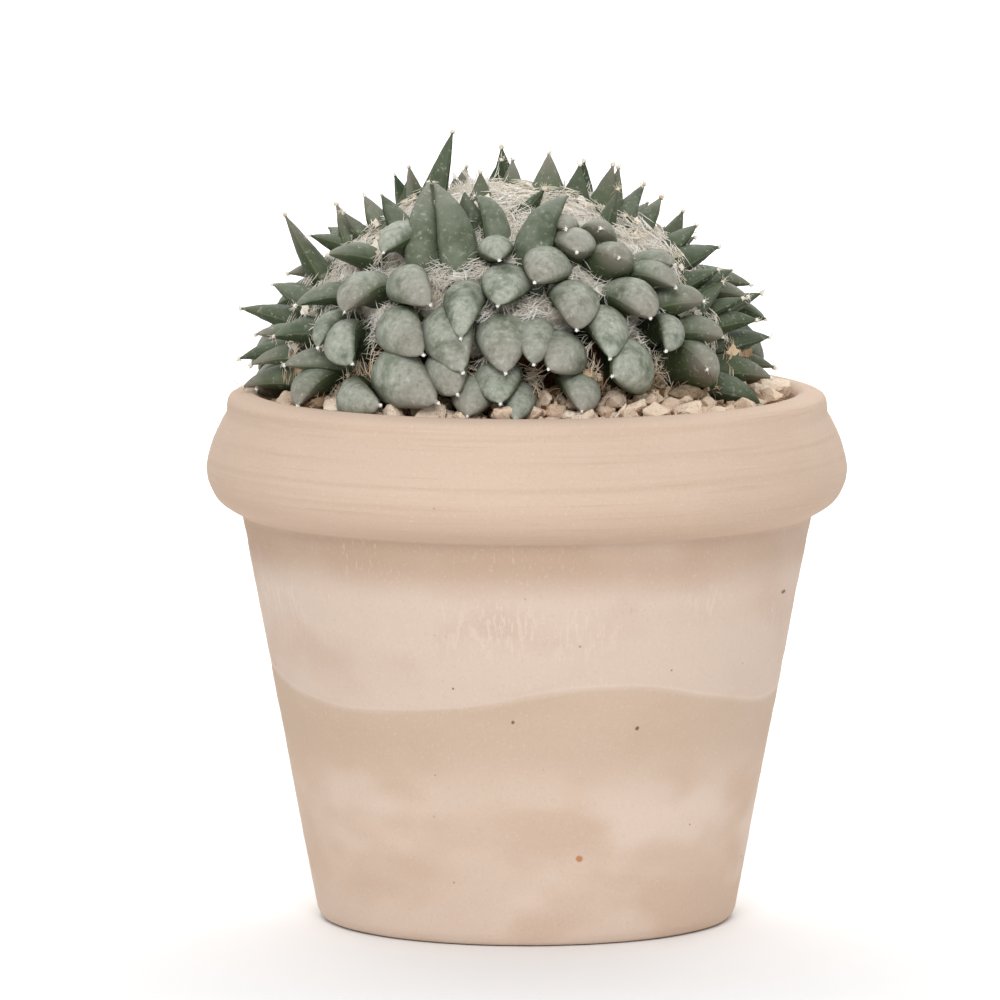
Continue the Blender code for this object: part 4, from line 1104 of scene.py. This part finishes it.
# %% The model's larger stones, each broken its own way in its own box
stone_names = sorted(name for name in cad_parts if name.startswith("pumice_stone_"))
for number, name in enumerate(stone_names, 1):
    box_low, box_high = (np.array(corner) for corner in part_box(name))
    points, faces = broken_stone(number, 16, 2)
    points = points * (box_high - box_low) + 0.5 * (box_low + box_high)
    tints = {"tint": np.full(len(points), random.Random(number).random())}
    add_piece(f"pumice_lump_{number:02d}", points, faces, pumice, (name,), tints)

# %% Grit strewn over the bed
BED_RISE = 0.011


def bed_height(radius):
    """Top of the grit, which heaps up evenly from the wall towards the plant."""
    wall = inner_radius(BED_Z)
    return BED_Z + BED_RISE * (wall - radius) / (wall - CORE_RADIUS)


def turned(points, chance):
    """Points turned by a chance rotation."""
    first = unit(chance.normal(size=3))
    second = unit(np.cross(first, chance.normal(size=3)))
    return points @ np.stack((first, second, np.cross(first, second)))


def strew(fleece, stones, count, smallest, largest, front_only):
    """Grit on the bed: each lump rests on it, and the lumps of one size keep apart."""
    chance = fleece.chance
    taken = []
    outer = inner_radius(BED_Z) - 0.0008
    for _ in range(count * 6):
        if len(taken) >= count:
            return
        size = chance.uniform(smallest, largest)
        turn = chance.normal() * 0.55 if front_only else chance.uniform(-math.pi, math.pi)
        radius = outer - 0.6 * size - chance.uniform(0.0, 0.024)
        spot = np.array((radius * math.sin(turn), -radius * math.cos(turn)))
        if any(np.hypot(*(spot - other[:2])) < 0.46 * (size + other[2]) for other in taken):
            continue
        taken.append((*spot, size))
        points, faces = stones[int(chance.integers(len(stones)))]
        shape = turned(points, chance) * size * (1.0, 1.0, 0.8)
        place = np.array((*spot, bed_height(radius) - shape[:, 2].min() - 0.12 * size))
        fleece.add(shape + place, faces, chance.random())


grit = Fleece(52)
coarse = [broken_stone(80 + k, 14, 1) for k in range(7)]
small = [broken_stone(90 + k, 9, 0) for k in range(7)]
strew(grit, coarse, 60, 0.0065, 0.0095, True)
strew(grit, coarse, 90, 0.004, 0.007, False)
strew(grit, small, 600, 0.0016, 0.0042, False)
add_piece("loose_grit", np.concatenate(grit.points), grit.faces, pumice, (),
          {"tint": np.concatenate(grit.tints)})

# %% [markdown]
# ## Dry leavings
#
# At the plant's foot lie a dropped tubercle, shrunk and grey-brown, and scraps of brown corky
# skin. The tubercle is the model's own, finer and wrinkled along its length.

# %% Dropped tubercle
husk = Finish("dry_husk", 0.9)
where = husk.place()
wrinkles = husk.noise(1.0, husk.stretched(where, (260.0, 900.0, 900.0)), 3.0, 0.6)
stain = husk.noise(210.0, where, 3.0, 0.6)
dry = husk.mix(husk.ramp(stain, 0.36, 0.62), colour(124, 108, 88), colour(162, 144, 120))
dry = husk.mix(husk.ramp(wrinkles, 0.55, 0.70) * 0.6, dry, colour(92, 74, 56))
husk.connect("Base Color", dry)
husk.bump(wrinkles + 0.4 * stain, 0.9, 0.0009)
points, faces = finer_points("dry_tubercle", 4, 0.0006, 260.0, 9)
add_piece("dropped_tubercle", points, faces, husk, ("dry_tubercle",))

# %% Brown scraps along the foot of the plant
scraps = Fleece(61)
chance = scraps.chance
for _ in range(260):
    turn = chance.uniform(-75.0, 75.0) if chance.random() < 0.6 else chance.uniform(-180.0, 180.0)
    climb = chance.uniform(-3.0, 9.0)
    spot = on_dome(turn, climb, CORE_RADIUS + chance.uniform(0.001, 0.014), CORE_HEIGHT)
    flat_radius = float(np.hypot(spot[0], spot[1]))
    spot[2] = max(spot[2], bed_height(flat_radius) + 0.0012)
    out = unit(spot - PLANT)
    scraps.flake(spot, unit(out + 0.6 * chance.normal(size=3)), chance.uniform(0.0025, 0.0085),
                 float(np.clip(0.80 + chance.normal() * 0.16, 0.3, 1.0)))
    for _ in range(2):
        scraps.curl(spot, np.cross(out, chance.normal(size=3)), chance.uniform(0.004, 0.010), 0.00032,
                    float(np.clip(0.80 + chance.normal() * 0.2, 0.3, 1.0)), 0.5)
scraps.finish_piece("foot_scraps")

# %% [markdown]
# ## What stays as the model has it
#
# The bed under the grit, the potting mix, the drainage layer and the shard over the hole are
# plain in shape, so the model's own meshes stay and only get a proper finish.

# %% Finishes for the hidden layers
def grainy(name, scale, dark, light, bump_depth):
    """A granular finish: cells of two colours with dark joints between them."""
    made = Finish(name, 0.95)
    where = made.place()
    cells = {"Vector": where, "Scale": scale}
    joint = made.node("ShaderNodeTexVoronoi", {}, cells, "Distance")
    cell_colour = made.node("ShaderNodeTexVoronoi", {}, cells, "Color")
    each = made.node("ShaderNodeSeparateColor", {}, {0: cell_colour}, 0)
    surface = made.mix(each, dark, light)
    surface = made.mix(made.ramp(joint, 0.35, 0.75) * 0.7, surface, colour(60, 44, 32))
    surface = made.mix(made.ramp(made.noise(scale * 4.0, where), 0.5, 0.7) * 0.3, surface, dark)
    made.connect("Base Color", surface)
    made.bump(1.0 - joint, 0.9, bump_depth)
    return made


kept = {
    "gravel_bed": grainy("fine_pumice_grit", 420.0, colour(160, 128, 100), colour(214, 184, 156), 0.0012),
    "potting_mix": grainy("gritty_soil", 600.0, colour(66, 48, 34), colour(132, 104, 78), 0.0010),
    "drainage_gravel": grainy("drainage_grit", 190.0, colour(112, 98, 84), colour(166, 150, 132), 0.0025),
    "drainage_crock": grainy("old_clay_shard", 1300.0, colour(146, 88, 62), colour(172, 110, 80), 0.0003),
}
for node, finish in kept.items():
    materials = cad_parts[node].data.materials
    for k in range(len(materials)):
        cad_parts[node].material_slots[k].material = finish.material
    print(node, "keeps its shape")

# %% [markdown]
# ## Floor, light and camera
#
# The pot stands on a plain white floor that fills the view. The light is that of a display
# tent: a bright world from all sides and one very large soft lamp in front and above, which
# gives the round pot its slight fall-off to the sides. The camera is far away with a long lens,
# so the sides of the pot stay nearly parallel.

# %% Floor
floor_mesh = bpy.data.meshes.new("floor")
FLOOR_HALF = 6.0
floor_mesh.from_pydata([(-FLOOR_HALF, -FLOOR_HALF, 0.0), (FLOOR_HALF, -FLOOR_HALF, 0.0),
                        (FLOOR_HALF, FLOOR_HALF, 0.0), (-FLOOR_HALF, FLOOR_HALF, 0.0)], [], [(0, 1, 2, 3)])
floor = bpy.data.objects.new("floor", floor_mesh)
bpy.context.scene.collection.objects.link(floor)
paper = Finish("floor_paper", 0.9)
paper.shader.inputs["Base Color"].default_value = (0.93, 0.93, 0.935, 1.0)
floor_mesh.materials.append(paper.material)

# %% Light
world = bpy.data.worlds.new("tent")
world.use_nodes = True
world.node_tree.nodes["Background"].inputs["Color"].default_value = (1.0, 1.0, 1.0, 1.0)
world.node_tree.nodes["Background"].inputs["Strength"].default_value = 0.56
bpy.context.scene.world = world
bpy.context.scene.view_settings.view_transform = "Standard"


def add_lamp(name, place, target, width, power):
    """A square soft lamp at a place, turned towards a target."""
    data = bpy.data.lights.new(name, "AREA")
    data.size = width
    data.energy = power
    lamp = bpy.data.objects.new(name, data)
    lamp.location = place
    lamp.rotation_euler = (Vector(target) - Vector(place)).to_track_quat("-Z", "Y").to_euler()
    bpy.context.scene.collection.objects.link(lamp)


add_lamp("front_lamp", (-0.05, -2.3, 1.75), (0.0, 0.0, 0.14), 1.1, 33.0)
add_lamp("back_floor_lamp", (0.0, 3.4, 2.6), (0.0, 3.6, 0.0), 5.0, 190.0)

# %% Camera
CAMERA_PITCH = 6.71             # degrees below the horizon
camera_data = bpy.data.cameras.new("camera")
camera_data.sensor_width = 36.0
camera_data.lens = 388.66
camera_data.clip_end = 30.0
camera = bpy.data.objects.new("camera", camera_data)
camera.location = (0.0, -4.0, 0.6271)
camera.rotation_euler = (math.radians(90.0 - CAMERA_PITCH), 0.0, math.radians(0.143))
bpy.context.scene.collection.objects.link(camera)
bpy.context.scene.camera = camera

# %% Update the scene
bpy.context.view_layer.update()
